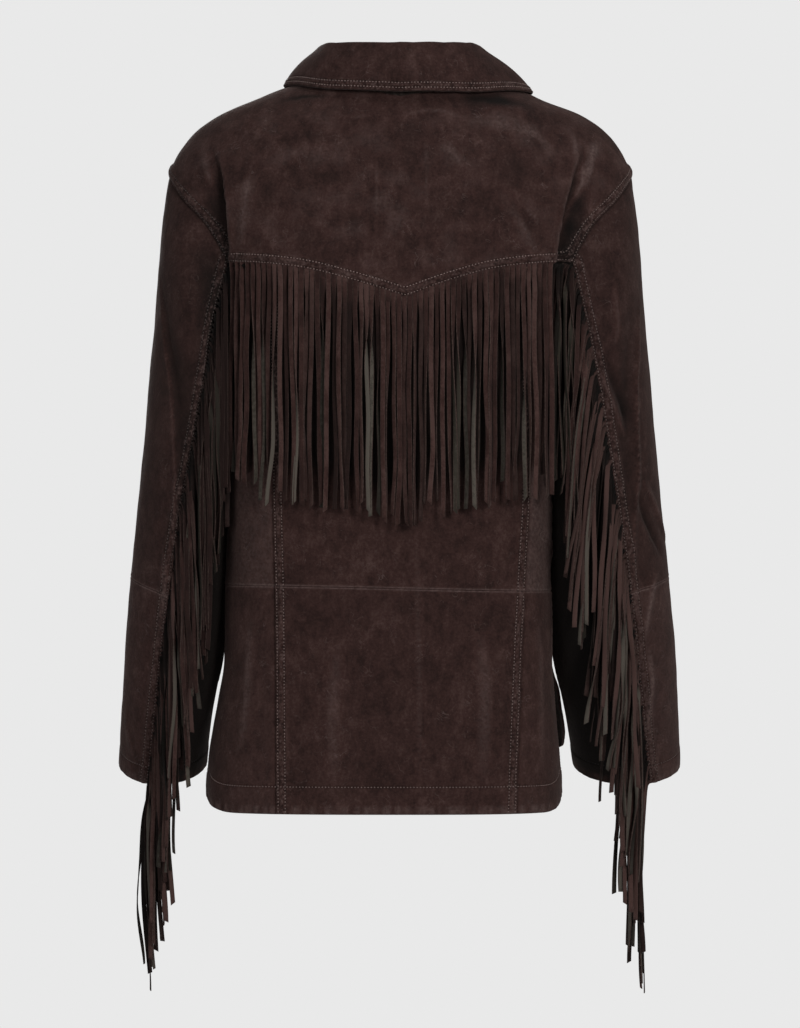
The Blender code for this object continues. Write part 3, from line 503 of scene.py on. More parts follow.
BODY_FOLDS = {
    "back": [
        # the pleats beside the armholes, with painted shade in the recess beyond each edge
        crease(0.005, 0.015, (0.185, -0.046), (0.176, -0.079), (0.1725, -0.106), (0.1692, -0.142),
               (0.167, -0.17), side=1, shade=0.84),
        crease(0.005, 0.013, (-0.184, -0.05), (-0.175, -0.07), (-0.1665, -0.1), (-0.161, -0.124),
               (-0.1555, -0.154), (-0.1535, -0.172), side=-1, shade=0.8),
        crease(0.0035, 0.0014, (-0.004, -0.026), (-0.036, -0.022), (-0.068, -0.031)),
        crease(0.004, -0.0013, (-0.018, -0.037), (-0.045, -0.041), (-0.07, -0.034)),
        crease(0.004, 0.0009, (0.068, -0.022), (0.047, -0.029), (0.03, -0.026)),
        crease(0.0026, 0.0013, (-0.025, -0.048), (-0.0262, -0.09), (-0.0245, -0.15)),
        crease(0.003, 0.001, (0.0235, -0.06), (0.0225, -0.105), (0.024, -0.158)),
        crease(0.003, 0.0016, (-0.123, -0.118), (-0.131, -0.128), (-0.137, -0.14)),
        crease(0.012, 0.0026, (0.169, -0.35), (0.1705, -0.45), (0.1725, -0.59)),
        crease(0.012, 0.003, (-0.151, -0.22), (-0.1485, -0.33), (-0.1485, -0.48),
               (-0.1495, -0.59)),
        crease(0.006, 0.0, (-0.062, -0.03), (-0.1, -0.035), (-0.138, -0.042), shade=-0.42),
        crease(0.0036, 0.0, (-0.118, -0.036), (-0.138, -0.048), (-0.15, -0.066), shade=-0.55),
        crease(0.0036, 0.0018, (-0.183, -0.07), (-0.18, -0.095), (-0.168, -0.118), shade=-0.75),
        crease(0.003, 0.0012, (-0.191, -0.052), (-0.187, -0.066), (-0.185, -0.084), shade=-0.6),
        crease(0.003, 0.001, (-0.173, -0.11), (-0.166, -0.13), (-0.16, -0.148), shade=-0.35),
        crease(0.0036, 0.0006, (-0.106, -0.118), (-0.12, -0.136), (-0.131, -0.158), shade=-0.4),
        crease(0.0036, 0.0006, (-0.04, -0.056), (-0.052, -0.064), (-0.062, -0.078), shade=-0.36),
        crease(0.007, 0.0, (-0.1, -0.06), (-0.112, -0.078), (-0.106, -0.1), shade=0.25),
        crease(0.008, 0.0, (-0.05, -0.105), (-0.07, -0.125), (-0.06, -0.15), shade=0.2),
        crease(0.005, 0.0008, (0.148, -0.082), (0.152, -0.11), (0.158, -0.16), shade=-0.34),
        crease(0.006, 0.0, (0.02, -0.1), (0.012, -0.13), (0.016, -0.17), shade=-0.2),
        crease(0.004, 0.0, (0.09, -0.05), (0.098, -0.062), (0.116, -0.066), shade=-0.22),
        # painted shadow under the collar's edges
        crease(0.0062, -0.001, (-0.055, -0.007), (-0.092, -0.0095), (-0.134, -0.015), shade=1.0),
        crease(0.0026, -0.0005, (0.118, -0.01), (0.092, -0.006), (0.07, -0.005), shade=0.8),
        crease(0.006, 0.0018, (-0.17, -0.04), (-0.173, -0.06), (-0.175, -0.078)),
        crease(0.0055, 0.002, (-0.194, -0.048), (-0.19, -0.072), (-0.184, -0.098)),
        crease(0.007, 0.0015, (0.195, -0.06), (0.19, -0.085), (0.186, -0.11)),
        crease(0.007, 0.0012, (-0.016, -0.425), (-0.0175, -0.52), (-0.019, -0.61),
               (-0.0185, -0.695)),
        crease(0.002, -0.0009, (-0.0252, -0.43), (-0.0254, -0.52), (-0.0266, -0.69)),
        crease(0.008, -0.001, (0.015, -0.47), (0.0165, -0.58), (0.014, -0.7)),
        crease(0.009, 0.0016, (0.147, -0.52), (0.15, -0.585), (0.157, -0.655)),
        crease(0.008, -0.0012, (0.136, -0.56), (0.138, -0.62), (0.141, -0.69)),
        crease(0.005, 0.0016, (-0.142, -0.43), (-0.148, -0.452), (-0.145, -0.482)),
        crease(0.009, 0.0012, (-0.136, -0.52), (-0.139, -0.59), (-0.141, -0.68)),
        crease(0.014, 0.0012, (0.06, -0.54), (0.066, -0.61), (0.064, -0.69)),
        crease(0.015, 0.0013, (-0.078, -0.53), (-0.083, -0.6), (-0.08, -0.69)),
    ],
    "front": [
        crease(0.016, 0.005, (-0.156, -0.58), (-0.159, -0.635), (-0.158, -0.662)),
        crease(0.009, 0.005, (0.125, -0.15), (0.118, -0.235), (0.128, -0.33), (0.135, -0.44)),
        crease(0.0085, 0.0046, (-0.13, -0.145), (-0.117, -0.225), (-0.122, -0.32),
               (-0.117, -0.41)),
        crease(0.012, 0.0034, (0.072, -0.25), (0.08, -0.36), (0.077, -0.5)),
        crease(0.013, 0.003, (-0.064, -0.3), (-0.071, -0.4), (-0.068, -0.56)),
        crease(0.01, -0.003, (0.055, -0.13), (0.066, -0.19), (0.06, -0.24)),
        crease(0.01, -0.0028, (-0.05, -0.14), (-0.058, -0.2), (-0.052, -0.27)),
        crease(0.006, 0.0032, (0.17, -0.105), (0.15, -0.14), (0.132, -0.19)),
        crease(0.006, 0.003, (-0.172, -0.1), (-0.15, -0.145), (-0.136, -0.2)),
        crease(0.01, -0.0024, (0.03, -0.47), (0.034, -0.55), (0.028, -0.64)),
        crease(0.009, 0.0026, (-0.034, -0.43), (-0.03, -0.52), (-0.036, -0.63)),
    ],
}
# a crease's shade on a sleeve is painted shade in its trough, and beside its pleat
SLEEVE_FOLDS = {
    "left": {
        "back": [
            crease(0.004, 0.007, (0.24, -0.165), (0.2362, -0.215), (0.231, -0.265),
                   (0.2245, -0.315), (0.2225, -0.36), (0.2215, -0.415), side=-1, shade=0.45),
            crease(0.009, -0.003, (0.193, -0.185), (0.195, -0.24), (0.2, -0.29), (0.205, -0.34)),
            crease(0.009, 0.0014, (0.236, -0.44), (0.231, -0.5), (0.235, -0.56)),
            crease(0.0035, 0.0016, (0.274, -0.61), (0.271, -0.64), (0.265, -0.662)),
            crease(0.008, -0.0012, (0.216, -0.52), (0.223, -0.56), (0.233, -0.6)),
            crease(0.012, 0.0036, (0.17, -0.35), (0.1735, -0.46), (0.179, -0.59)),
            crease(0.013, -0.003, (0.2, -0.15), (0.184, -0.19), (0.183, -0.24), (0.19, -0.29),
                   shade=0.75),
        ],
        "front": [
            crease(0.008, 0.003, (0.23, -0.18), (0.22, -0.25), (0.233, -0.33)),
            crease(0.008, 0.0035, (0.195, -0.4), (0.215, -0.44), (0.245, -0.45)),
            crease(0.007, -0.0025, (0.2, -0.44), (0.22, -0.475), (0.252, -0.48)),
            crease(0.009, 0.0018, (0.21, -0.52), (0.225, -0.58), (0.23, -0.64)),
        ],
    },
    "right": {
        "back": [
            crease(0.004, 0.006, (-0.238, -0.2), (-0.2345, -0.25), (-0.2322, -0.29),
                   (-0.2322, -0.331), (-0.2335, -0.38), (-0.2312, -0.408), (-0.2298, -0.45),
                   (-0.229, -0.484)),
            crease(0.006, -0.0024, (-0.2285, -0.21), (-0.225, -0.26), (-0.2232, -0.3),
                   (-0.2235, -0.345), (-0.2245, -0.4), (-0.222, -0.45), shade=0.36),
            crease(0.0046, -0.0048, (-0.199, -0.262), (-0.2154, -0.3), (-0.229, -0.334),
                   shade=0.45),
            crease(0.0036, 0.0026, (-0.196, -0.278), (-0.21, -0.312), (-0.224, -0.346)),
            crease(0.0042, -0.0048, (-0.2335, -0.396), (-0.247, -0.43), (-0.261, -0.46),
                   shade=0.55),
            crease(0.004, 0.0034, (-0.24, -0.385), (-0.254, -0.415), (-0.266, -0.445)),
            crease(0.005, 0.0034, (-0.2535, -0.476), (-0.247, -0.505), (-0.241, -0.545)),
            crease(0.006, 0.0026, (-0.246, -0.55), (-0.249, -0.59), (-0.243, -0.64)),
            crease(0.007, 0.0014, (-0.21, -0.19), (-0.215, -0.23), (-0.208, -0.262)),
            crease(0.012, 0.0034, (-0.154, -0.25), (-0.15, -0.36), (-0.151, -0.5), (-0.154, -0.6)),
            crease(0.011, 0.0045, (-0.164, -0.24), (-0.158, -0.275), (-0.1535, -0.3),
                   (-0.1515, -0.34)),
        ],
        "front": [
            crease(0.008, 0.0028, (-0.23, -0.185), (-0.218, -0.245), (-0.228, -0.32)),
            crease(0.008, 0.0034, (-0.192, -0.395), (-0.212, -0.43), (-0.243, -0.445)),
            crease(0.0075, -0.0024, (-0.196, -0.435), (-0.218, -0.47), (-0.25, -0.478)),
            crease(0.009, 0.0017, (-0.205, -0.52), (-0.218, -0.575), (-0.224, -0.64)),
        ],
    },
}
FOLD_POINTS = 40           # a crease is read at this many places along it
FOLD_PASSES = 4            # and its line on the cloth smoothed so many times
FACING = 0.05              # a face's cloth looks at least this much its way
FOLD_REACH = 4             # an even crease ends this many half widths away
CREST_WEAR_AND_HIGHLIGHT = 1.10          # how rubbed a high ridge is along its crest, with a painted highlight
HIGH_CREST = 0.0030
CREST_WIDTH, SHADE_WIDTH = 0.45, 1.3     # of what is rubbed, and of the painted shade, in half widths
SIDE_FALL = 0.024          # cloth beside a pleat's edge is back at its own level after this
PLEAT_REACH = 2.5          # and the pleat ends after so many times that
PLEAT_DROP = (-0.0004, 0.0042)           # the cloth drops away between these distances
PLEAT_START, PLEAT_END, PLEAT_LOSS = 0.45, 0.9, 0.5  # shares: full height, its end, what is lost
PLEAT_TIP = 0.002          # past a pleat's tip its drop, crest and painted shade fade out over these
TIP_DROP, TIP_CREST, TIP_DARK = 0.006, 0.004, 0.010
PLEAT_CREST = 0.12         # share of the drop
PLEAT_WEAR, PLEAT_WEAR_OFF, PLEAT_WEAR_WIDTH = 0.5, 0.0005, 0.0016
PLEAT_DARK = (-0.0002, 0.0012)           # painted shade between these distances from the edge
PLEAT_DARK_REACH = 0.040   # and so far beyond them at the lower end, less above
DARK_LEAST, DARK_GROWS = 0.25, (0.1, 0.8)


def smooth_path(knots, count):
    """A smooth line through its knots, at evenly spaced places."""
    knots = np.array(knots, float)
    slopes = np.gradient(knots, axis=0)
    points = []
    for at in np.linspace(0, len(knots) - 1, count):
        low = min(int(at), len(knots) - 2)
        points.append(hermite(knots[low], knots[low + 1], slopes[low], slopes[low + 1],
                              at - low))
    return np.array(points)


# where each uneven field starts, so that no two are alike
FIELDS = {"swell": 3.0, "ripple": 11.0, "pucker": 23.0, "plain": 31.0, "hem": 41.0,
          "streaks": 43.0, "seam": 57.0, "brushed": 71.0}
CREASE_TAPER = 0.7         # below 1 a crease keeps its height for longer towards its ends


class Folds:
    """Creases of one surface, each as a line on it."""

    def __init__(self, creases, points, normals):
        self.lines = []
        for face, rows in creases.items():
            out = normals[:, 1] if face == "back" else -normals[:, 1]
            on_face = points[out > FACING]
            for knots, width, height, side, shade in rows:
                path = []
                for across, level in smooth_path(knots, FOLD_POINTS):
                    off = (on_face[:, 0] - across) ** 2 + (on_face[:, 2] - level) ** 2
                    path.append(on_face[off.argmin()])
                path = np.array(path)
                for _ in range(FOLD_PASSES):
                    path[1:-1] = (path[:-2] + 2 * path[1:-1] + path[2:]) / 4
                self.lines.append((path, width, height, side, shade))

    def lift(self, points, normals):
        """How far each point stands out, how rubbed it is along the crests, and its painted shade
        in troughs and pleats' recesses.
        """
        flat, out = points.reshape(-1, 3), normals.reshape(-1, 3)
        lift, worn = np.zeros(len(flat)), np.zeros(len(flat))
        for path, width, height, side, shade in self.lines:
            reach = FOLD_REACH * width + (PLEAT_REACH * SIDE_FALL if side else 0.0)
            near = np.all((flat > path.min(axis=0) - reach) & (flat < path.max(axis=0) + reach),
                          axis=1)
            near = np.nonzero(near)[0]
            if not len(near):
                continue
            gaps = flat[near, None, :] - path[None, :, :]
            distance = np.linalg.norm(gaps, axis=2)
            nearest = distance.argmin(axis=1)
            each = np.arange(len(near))
            distance = distance[each, nearest]
            share = nearest / (len(path) - 1)
            if side:
                tangent = np.gradient(path, axis=0)[nearest]
                across = np.cross(unit(tangent), out[near])
                signed = side * (gaps[each, nearest] * across).sum(axis=1)
                raised, rubbed = pleat(signed, distance, share, width, height)
                lift[near] += raised
                worn[near] += rubbed
                # painted shade in the recess beside the pleat's edge
                worn[near] -= shade * pleat_dark(signed, distance, share)
                continue
            taper = np.sin(np.pi * np.clip(share, 0, 1)) ** CREASE_TAPER
            lift[near] += taper * height * bell(distance, width)
            # painted shade along the crease, and rubbed where the shade is below 0
            worn[near] -= taper * shade * bell(distance, SHADE_WIDTH * width)
            if height > 0:
                worn[near] += (taper * min(height / HIGH_CREST, 1.0) * CREST_WEAR_AND_HIGHLIGHT
                               * bell(distance, CREST_WIDTH * width))
        return lift.reshape(points.shape[:-1]), worn.reshape(points.shape[:-1])


def past_tip(signed, distance):
    """How far a point is past a pleat's tip, from its distances to the edge and its line."""
    return np.clip(distance - np.abs(signed) - PLEAT_TIP, 0, None)


def pleat(signed, distance, share, width, height):
    """The drop on one side of a pleat's edge with the low crest along it, and its wear."""
    taper = smooth(0.0, PLEAT_START, share) * (1 - PLEAT_LOSS * smooth(PLEAT_END, 1.0, share))
    beyond = past_tip(signed, distance)
    drop = smooth(*PLEAT_DROP, signed) * np.exp(-np.maximum(signed, 0) / SIDE_FALL)
    drop = drop * bell(beyond, TIP_DROP)
    crest = bell(signed, width) * bell(beyond, TIP_CREST)
    return (taper * (-height * drop + PLEAT_CREST * height * crest),
            taper * PLEAT_WEAR * bell(signed + PLEAT_WEAR_OFF, PLEAT_WEAR_WIDTH))


def pleat_dark(signed, distance, share):
    """Painted shade in the recess behind a pleat's edge, wider towards its lower end."""
    reach = PLEAT_DARK_REACH * (DARK_LEAST + (1 - DARK_LEAST) * smooth(*DARK_GROWS, share))
    recess = smooth(*PLEAT_DARK, signed) * np.exp(
        -(np.maximum(signed, 0) / reach) ** 4 - (past_tip(signed, distance) / TIP_DARK) ** 2)
    return smooth(0.0, PLEAT_START, share) * recess


def uneven(points, size, field):
    """A smooth uneven field from about -1 to 1, with bumps of this size."""
    flat = points.reshape(-1, 3) / size + FIELDS[field]
    found = [noise.noise(point) for point in flat]
    return np.array(found).reshape(points.shape[:-1])


# ---- cloth meshes -------------------------------------------------------------------------
CLOTH_STEP = 0.0030        # spacing of the grid away from the seams
PLAIN_STEP = 0.0042        # and on the plainer panels
SWELL, SWELL_SIZE = 0.0011, 0.060        # slow unevenness of the cloth
RIPPLE, RIPPLE_SIZE = 0.00032, 0.017     # small ripples
PUCKER, PUCKER_SIZE, PUCKER_REACH = 0.00028, 0.0050, 0.012     # beside topstitched seams
# beside plain seams, drawn out upright: height | size | share upright | middle and half width
PLAIN_WAVE, PLAIN_WAVE_SIZE, PLAIN_WAVE_UP, PLAIN_WAVE_AT = 0.00035, 0.0055, 0.25, 0.006
# in the turned-up hems and cuffs: height | size | share upright | where they end
HEM_WAVE, HEM_WAVE_SIZE, HEM_WAVE_UP, HEM_WAVE_END = 0.0005, 0.0042, 0.12, (0.006, 0.016)
# rubbed streaks along their edges: most | size | share upright | where they end | how the
# streaks go from none to some
HEM_RUB, HEM_RUB_SIZE, HEM_RUB_UP, HEM_RUB_END = 1.20, 0.0040, 0.10, (0.004, 0.010)
HEM_RUB_MEAN, HEM_RUB_SWING = 0.30, 0.9
SEAM_LAP = 0.0010          # the inside reaches this far under the next panel
UNDER_LAP = 0.0024         # and this far where the next panel lies on top
ON_EDGE = 0.0005           # the grid's edge is on a seam if it is this near to it
AT_EDGE = 0.0008           # and a line of the grid starts at the seam if this near
TINY = 1e-9
SEAM_WEAR = {"strip": 0.20, "collar": 0.16, "free": 0.10, "hem": 0.05, "cuff": 0.05}
SEAM_WEAR_END = 0.003      # past the last row of stitches
SEAM_WEAR_SIZE, SEAM_WEAR_MEAN, SEAM_WEAR_SWING = 0.008, 0.6, 0.6
PULLED_SHADE, PULLED_WIDTH = 0.35, 0.0010      # painted shade along a row of stitches, which pulls the cloth in
# (how rubbed, how far from the edge, width) of a plain seam's ridge and of its dark line
PLAIN_RUB, PLAIN_DARK = (1.1, 0.0011, 0.0007), (-0.2, 0.0001, 0.0004)
UNDER_DARK, UNDER_DARK_WIDTH = 0.45, 0.0022    # painted shadow beside an edge that lies on this panel
# each skin's own tone, with painted light and shade on some, such as a painted highlight on the
# right side back: + is lighter and more rubbed, - darker
PANEL_TONE_AND_LIGHT = {"top_sleeve_upper_left": -0.18, "top_sleeve_upper_right": -0.22,
              "top_sleeve_lower_left": -0.02, "top_sleeve_lower_right": 0.14,
              "back_center_lower": -0.08, "back_side_upper_right": 0.60,
              "back_side_upper_left": 0.34, "back_side_lower_right": 0.04,
              "back_side_lower_left": 0.07, "collar": -0.04, "back_center_upper": -0.06}
# more uneven brushing of the nap
BRUSHED = {"back_yoke": 0.36, "collar": 0.22}
BRUSHED_SIZE = 0.020
FLESH_SIDE = 1             # material slot of the inside
# a row of the grid narrower than this share of both its ends' lines has them closer together
NARROWEST = 1.4
LONGEST_SKIP, SHORTEST_ROW = 2, 3        # a row of stitches ends at a longer skip in its points


def spread(bottom, top, left, right):
    """A grid of values filled in between four seam lines."""
    bottom, top, left, right = (np.array(edge, dtype=float) for edge in (bottom, top, left, right))
    v = np.linspace(0, 1, len(left))[:, None, None]
    u = np.linspace(0, 1, len(bottom))[None, :, None]
    return ((1 - v) * bottom[None] + v * top[None] + (1 - u) * left[:, None]
            + u * right[:, None] - (1 - u) * (1 - v) * bottom[0] - u * (1 - v) * bottom[-1]
            - (1 - u) * v * top[0] - u * v * top[-1])


def respaced(values, surface, first, last, step):
    """The grid read again across its rows, with lines at given distances from both ends."""
    points = surface(values)[0]
    along = np.linalg.norm(np.diff(points, axis=1), axis=2)
    along = np.concatenate((np.zeros((len(along), 1)), np.cumsum(along, axis=1)), axis=1)
    first, last = np.array(first), np.array(last)
    middle = along[:, -1].max() - first[-1] - last[-1]
    count = max(4, int(round(middle / step)))
    grid = np.zeros((len(values), len(first) + len(last) + count - 1, 2))
    for i, row in enumerate(along):
        fit = min(1.0, row[-1] / (NARROWEST * (first[-1] + last[-1])))
        inner = np.linspace(first[-1] * fit, row[-1] - last[-1] * fit, count + 1)[1:-1]
        at = np.concatenate((first * fit, inner, row[-1] - last[::-1] * fit))
        for k in range(2):
            grid[i, :, k] = np.interp(at, row, values[i, :, k])
    return grid


def cut_size(points):
    """(widest row, longest column) and the area of a grid, before creases draw it in."""
    across, down = np.diff(points, axis=1), np.diff(points, axis=0)
    widest = np.linalg.norm(across, axis=2).sum(axis=1).max()
    longest = np.linalg.norm(down, axis=2).sum(axis=0).max()
    area = np.linalg.norm(np.cross(across[:-1], down[:, :-1]), axis=2).sum()
    return (float(widest), float(longest)), float(area)


class Panel:
    """One suede panel: its grid, its edges by kind, and its surface."""

    def __init__(self, name, surface, edges, folds, step=CLOTH_STEP, calm=1.0,
                 thickness=SUEDE):
        # edges: for each of bottom, top, left and right, a list of (kind, values)
        self.name, self.thickness, self.rows = name, thickness, {}
        lines = {}
        for place, parts in edges.items():
            joined = list(parts[0][1])
            for _, part in parts[1:]:
                joined += list(part)[1:]
            lines[place] = joined
        marks = {place: max((LINES[kind] for kind, _ in parts), key=len)
                 for place, parts in edges.items()}
        grid = spread(lines["bottom"], lines["top"], lines["left"], lines["right"])
        grid = respaced(grid, surface, marks["left"], marks["right"], step)
        grid = respaced(grid.swapaxes(0, 1), surface, marks["bottom"], marks["top"], step)
        grid = grid.swapaxes(0, 1)
        self.points, self.normals = surface(grid)
        self.flat, self.area = cut_size(self.points)
        self.distance = {}                # to the edges of each kind
        for kind in sorted({kind for parts in edges.values() for kind, _ in parts}):
            targets = [close_line(surface(np.array(part, float))[0])
                       for parts in edges.values() for found, part in parts if found == kind]
            self.distance[kind] = distance_to(self.points, np.concatenate(targets))
        self.shape_cloth(folds, calm)

    def shape_cloth(self, folds, calm):
        """The grids of the outside and the inside, and the outside's wear and painted shade."""
        lift, worn = folds.lift(self.points, self.normals)
        self.lift = self.waved(lift, calm) * self.fade()
        detail = 0.0
        for kind, d in self.distance.items():
            short = np.clip(1 - d / EDGE_ROUND[kind], 0, 1)
            detail += seam_profile(kind, d) - EDGE_ROUND[kind] * (1 - np.sqrt(1 - short ** 2))
        self.outer = self.points + self.normals * (self.lift + detail)[..., None]
        self.inner = self.points + self.normals * (self.lift - self.thickness)[..., None]
        self.lap()
        self.wear(worn)

    def to(self, kind):
        """The distance to the edges of a kind, or far where the panel has none."""
        return self.distance.get(kind, np.full(self.points.shape[:2], np.inf))

    def waved(self, lift, calm):
        """The creases with the cloth's unevenness and the waves along its seams."""
        points = self.points
        lift += calm * SWELL * uneven(points, SWELL_SIZE, "swell")
        lift += calm * RIPPLE * uneven(points, RIPPLE_SIZE, "ripple")
        if "under" in self.distance or "strip" in self.distance:
            seam = np.minimum(self.to("strip"), self.to("under"))
            lift += PUCKER * uneven(points, PUCKER_SIZE, "pucker") * bell(seam, PUCKER_REACH)
        if "plain" in self.distance:
            upright = points * (1.0, 1.0, PLAIN_WAVE_UP)
            lift += (PLAIN_WAVE * uneven(upright, PLAIN_WAVE_SIZE, "plain")
                     * bell(self.distance["plain"] - PLAIN_WAVE_AT, PLAIN_WAVE_AT))
        for kind in ("hem", "cuff"):
            if kind in self.distance:
                upright = points * (1.0, 1.0, HEM_WAVE_UP)
                lift += (HEM_WAVE * uneven(upright, HEM_WAVE_SIZE, "hem")
                         * (1 - smooth(*HEM_WAVE_END, self.distance[kind])))
        return lift

    def lap(self):
        """Lets the inside reach under the neighbouring panels."""
        under = self.to("under")
        for grid, off in ((self.inner, under), (self.inner.swapaxes(0, 1), under.T)):
            for first, second in ((0, 2), (-1, -3)):
                reach = UNDER_LAP if np.median(off[first]) < ON_EDGE else SEAM_LAP
                grid[first] += unit(grid[first] - grid[second]) * reach

    def wear(self, worn):
        """Sets the outside's wear and painted light and shade, from -1 (painted shade) to 1
        (rubbed), and where it is puckered by a seam.
        """
        points = self.points
        for kind in ("hem", "cuff"):
            if kind in self.distance:
                upright = points * (1.0, 1.0, HEM_RUB_UP)
                streaks = uneven(upright, HEM_RUB_SIZE, "streaks")
                worn = worn + (HEM_RUB * (HEM_RUB_MEAN + HEM_RUB_SWING * streaks)
                               * (1 - smooth(*HEM_RUB_END, self.distance[kind])))
        self.seam = np.zeros_like(worn)
        for kind, rows in STITCH_ROWS.items():
            if kind not in self.distance:
                continue
            d = self.distance[kind]
            near = 1 - smooth(rows[-1], rows[-1] + SEAM_WEAR_END, d)
            patchy = uneven(points, SEAM_WEAR_SIZE, "seam")
            worn = worn + SEAM_WEAR[kind] * near * (SEAM_WEAR_MEAN + SEAM_WEAR_SWING * patchy)
            for row in rows:
                worn = worn - PULLED_SHADE * bell(d - row, PULLED_WIDTH)
            if kind in ("strip", "collar", "free"):
                self.seam = np.maximum(self.seam, near)
        for rub, at, width in (PLAIN_RUB, PLAIN_DARK):
            worn = worn + rub * bell(self.to("plain") - at, width)
        worn = worn - UNDER_DARK * bell(self.to("under"), UNDER_DARK_WIDTH)
        worn = worn + BRUSHED.get(self.name, 0.0) * uneven(points, BRUSHED_SIZE, "brushed")
        # painted shade taken off, and each panel's tone with its painted light and shade added
        self.worn = np.clip(worn - self.shade() + PANEL_TONE_AND_LIGHT.get(self.name, 0.0), -1, 1)

    def fade(self):
        """Creases die out at the armhole, where body and sleeve have to meet."""
        return 1.0

    def shade(self):
        """Painted shade, from 0 to 1: a plain panel has none."""
        return 0.0

    def stitch_lines(self):
        """Lines of stitches: points on the cloth's outside and their normals."""
        found = []
        for kind, rows in STITCH_ROWS.items():
            if kind not in self.distance:
                continue
            for turned in (False, True):
                for reverse in (False, True):
                    found += self.rows_at_edge(kind, rows, turned, reverse)
        return found

    def rows_at_edge(self, kind, rows, turned, reverse):
        pick = [self.distance[kind], self.outer, self.normals]
        if turned:
            pick = [grid.swapaxes(0, 1) for grid in pick]
        if reverse:
            pick = [grid[:, ::-1] for grid in pick]
        distance, points, normals = pick
        on_edge = distance[:, 0] < AT_EDGE
        lines = []
        for row in rows:
            path = []
            for i in np.nonzero(on_edge)[0]:
                reached = np.nonzero(distance[i] >= row)[0]
                if not len(reached) or reached[0] == 0:
                    continue
                j = reached[0]
                span = distance[i, j] - distance[i, j - 1]
                t = (row - distance[i, j - 1]) / max(span, TINY)
                path.append((i, points[i, j - 1] * (1 - t) + points[i, j] * t,
                             unit(normals[i, j - 1] * (1 - t) + normals[i, j] * t)))
            lines += unbroken(path)
        return lines


def unbroken(path):
    """Splits a list of (index, point, normal) where the indexes skip."""
    runs, run = [], []
    for item in path:
        if run and item[0] - run[-1][0] > LONGEST_SKIP:
            runs.append(run)
            run = []
        run.append(item)
    runs.append(run)
    return [(np.array([p for _, p, _ in run]), np.array([n for _, _, n in run]))
            for run in runs if len(run) > SHORTEST_ROW]


def add_mesh(name, vertices, faces, materials, indices=None, attributes=None):
    mesh = bpy.data.meshes.new(name)
    mesh.from_pydata(vertices.tolist(), [], faces)
    mesh.shade_smooth()
    for material in materials:
        mesh.materials.append(material)
    if indices is not None:
        mesh.polygons.foreach_set("material_index", np.array(indices, np.int32))
    for label, values in (attributes or {}).items():
        layer = mesh.attributes.new(label, "FLOAT", "POINT")
        layer.data.foreach_set("value", np.array(values, np.float32))
    made = bpy.data.objects.new(name, mesh)
    bpy.context.scene.collection.objects.link(made)
    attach(made, "root")
    return made


def shell(name, outer, inner, attributes, materials):
    """A closed sheet of cloth between two grids of points."""
    rows, columns = outer.shape[:2]
    count = rows * columns
    index = np.arange(count).reshape(rows, columns)
    quads = np.stack((index[:-1, :-1], index[:-1, 1:], index[1:, 1:], index[1:, :-1]), axis=-1)
    quads = quads.reshape(-1, 4)
    rim = np.concatenate((index[0, :], index[1:, -1], index[-1, -2::-1], index[-2:0:-1, 0]))
    after = np.roll(rim, -1)
    sides = np.stack((after, rim, rim + count, after + count), axis=-1)
    faces = np.concatenate((quads, quads[:, ::-1] + count, sides))
    vertices = np.concatenate((outer.reshape(-1, 3), inner.reshape(-1, 3)))
    corners = vertices[quads[len(quads) // 2]]
    facing = np.cross(corners[1] - corners[0], corners[2] - corners[0])
    middle = len(quads) // 2
    if np.dot(facing, vertices[quads[middle][0]] - vertices[quads[middle][0] + count]) < 0:
        faces = faces[:, ::-1]
    slots = [0] * len(quads) + [FLESH_SIDE] * len(quads) + [0] * len(sides)
    attributes = {label: np.concatenate((values.ravel(), values.ravel() * 0))
                  for label, values in attributes.items()}
    return add_mesh(name, vertices, faces.tolist(), materials, slots, attributes)


# ---- stitches -----------------------------------------------------------------------------
STITCH_PITCH, STITCH_LENGTH = 0.0032, 0.0016
STITCH_START, STITCH_END = 0.0008, 0.0010      # left free at the ends of a row
STITCH_SHIFT, STITCH_STRETCH = 0.00012, (0.93, 1.05)           # sewn a little unevenly
THREAD = 0.00050           # radius
STITCH_SIDES = 4
# painted shade on the thread, from 0 to 1: most under the sleeves and on the left sleeve, out of
# the light
THREAD_SHADE = {"back_yoke": 0.0, "collar": 0.05, "top_sleeve_upper_left": 0.74,
                "top_sleeve_lower_left": 0.50, "top_sleeve_upper_right": 0.50,
                "top_sleeve_lower_right": 0.62,
                "back_side_upper_left": 0.60, "back_side_upper_right": 0.60,
                "under_sleeve_left": 0.92, "under_sleeve_right": 0.95}
THREAD_SHADE_ELSEWHERE = 0.25
ARMHOLE_THREAD = ((1, 0.75), (-1, 0.35))       # least painted shade along the left armhole, and the right
# share of the stitch's length | height of its middle above the cloth | share of the radius
STITCH_RINGS = ((0.0, -0.00030, 0.60), (0.25, 0.00022, 1.0), (0.75, 0.00022, 1.0),
                (1.0, -0.00030, 0.60))


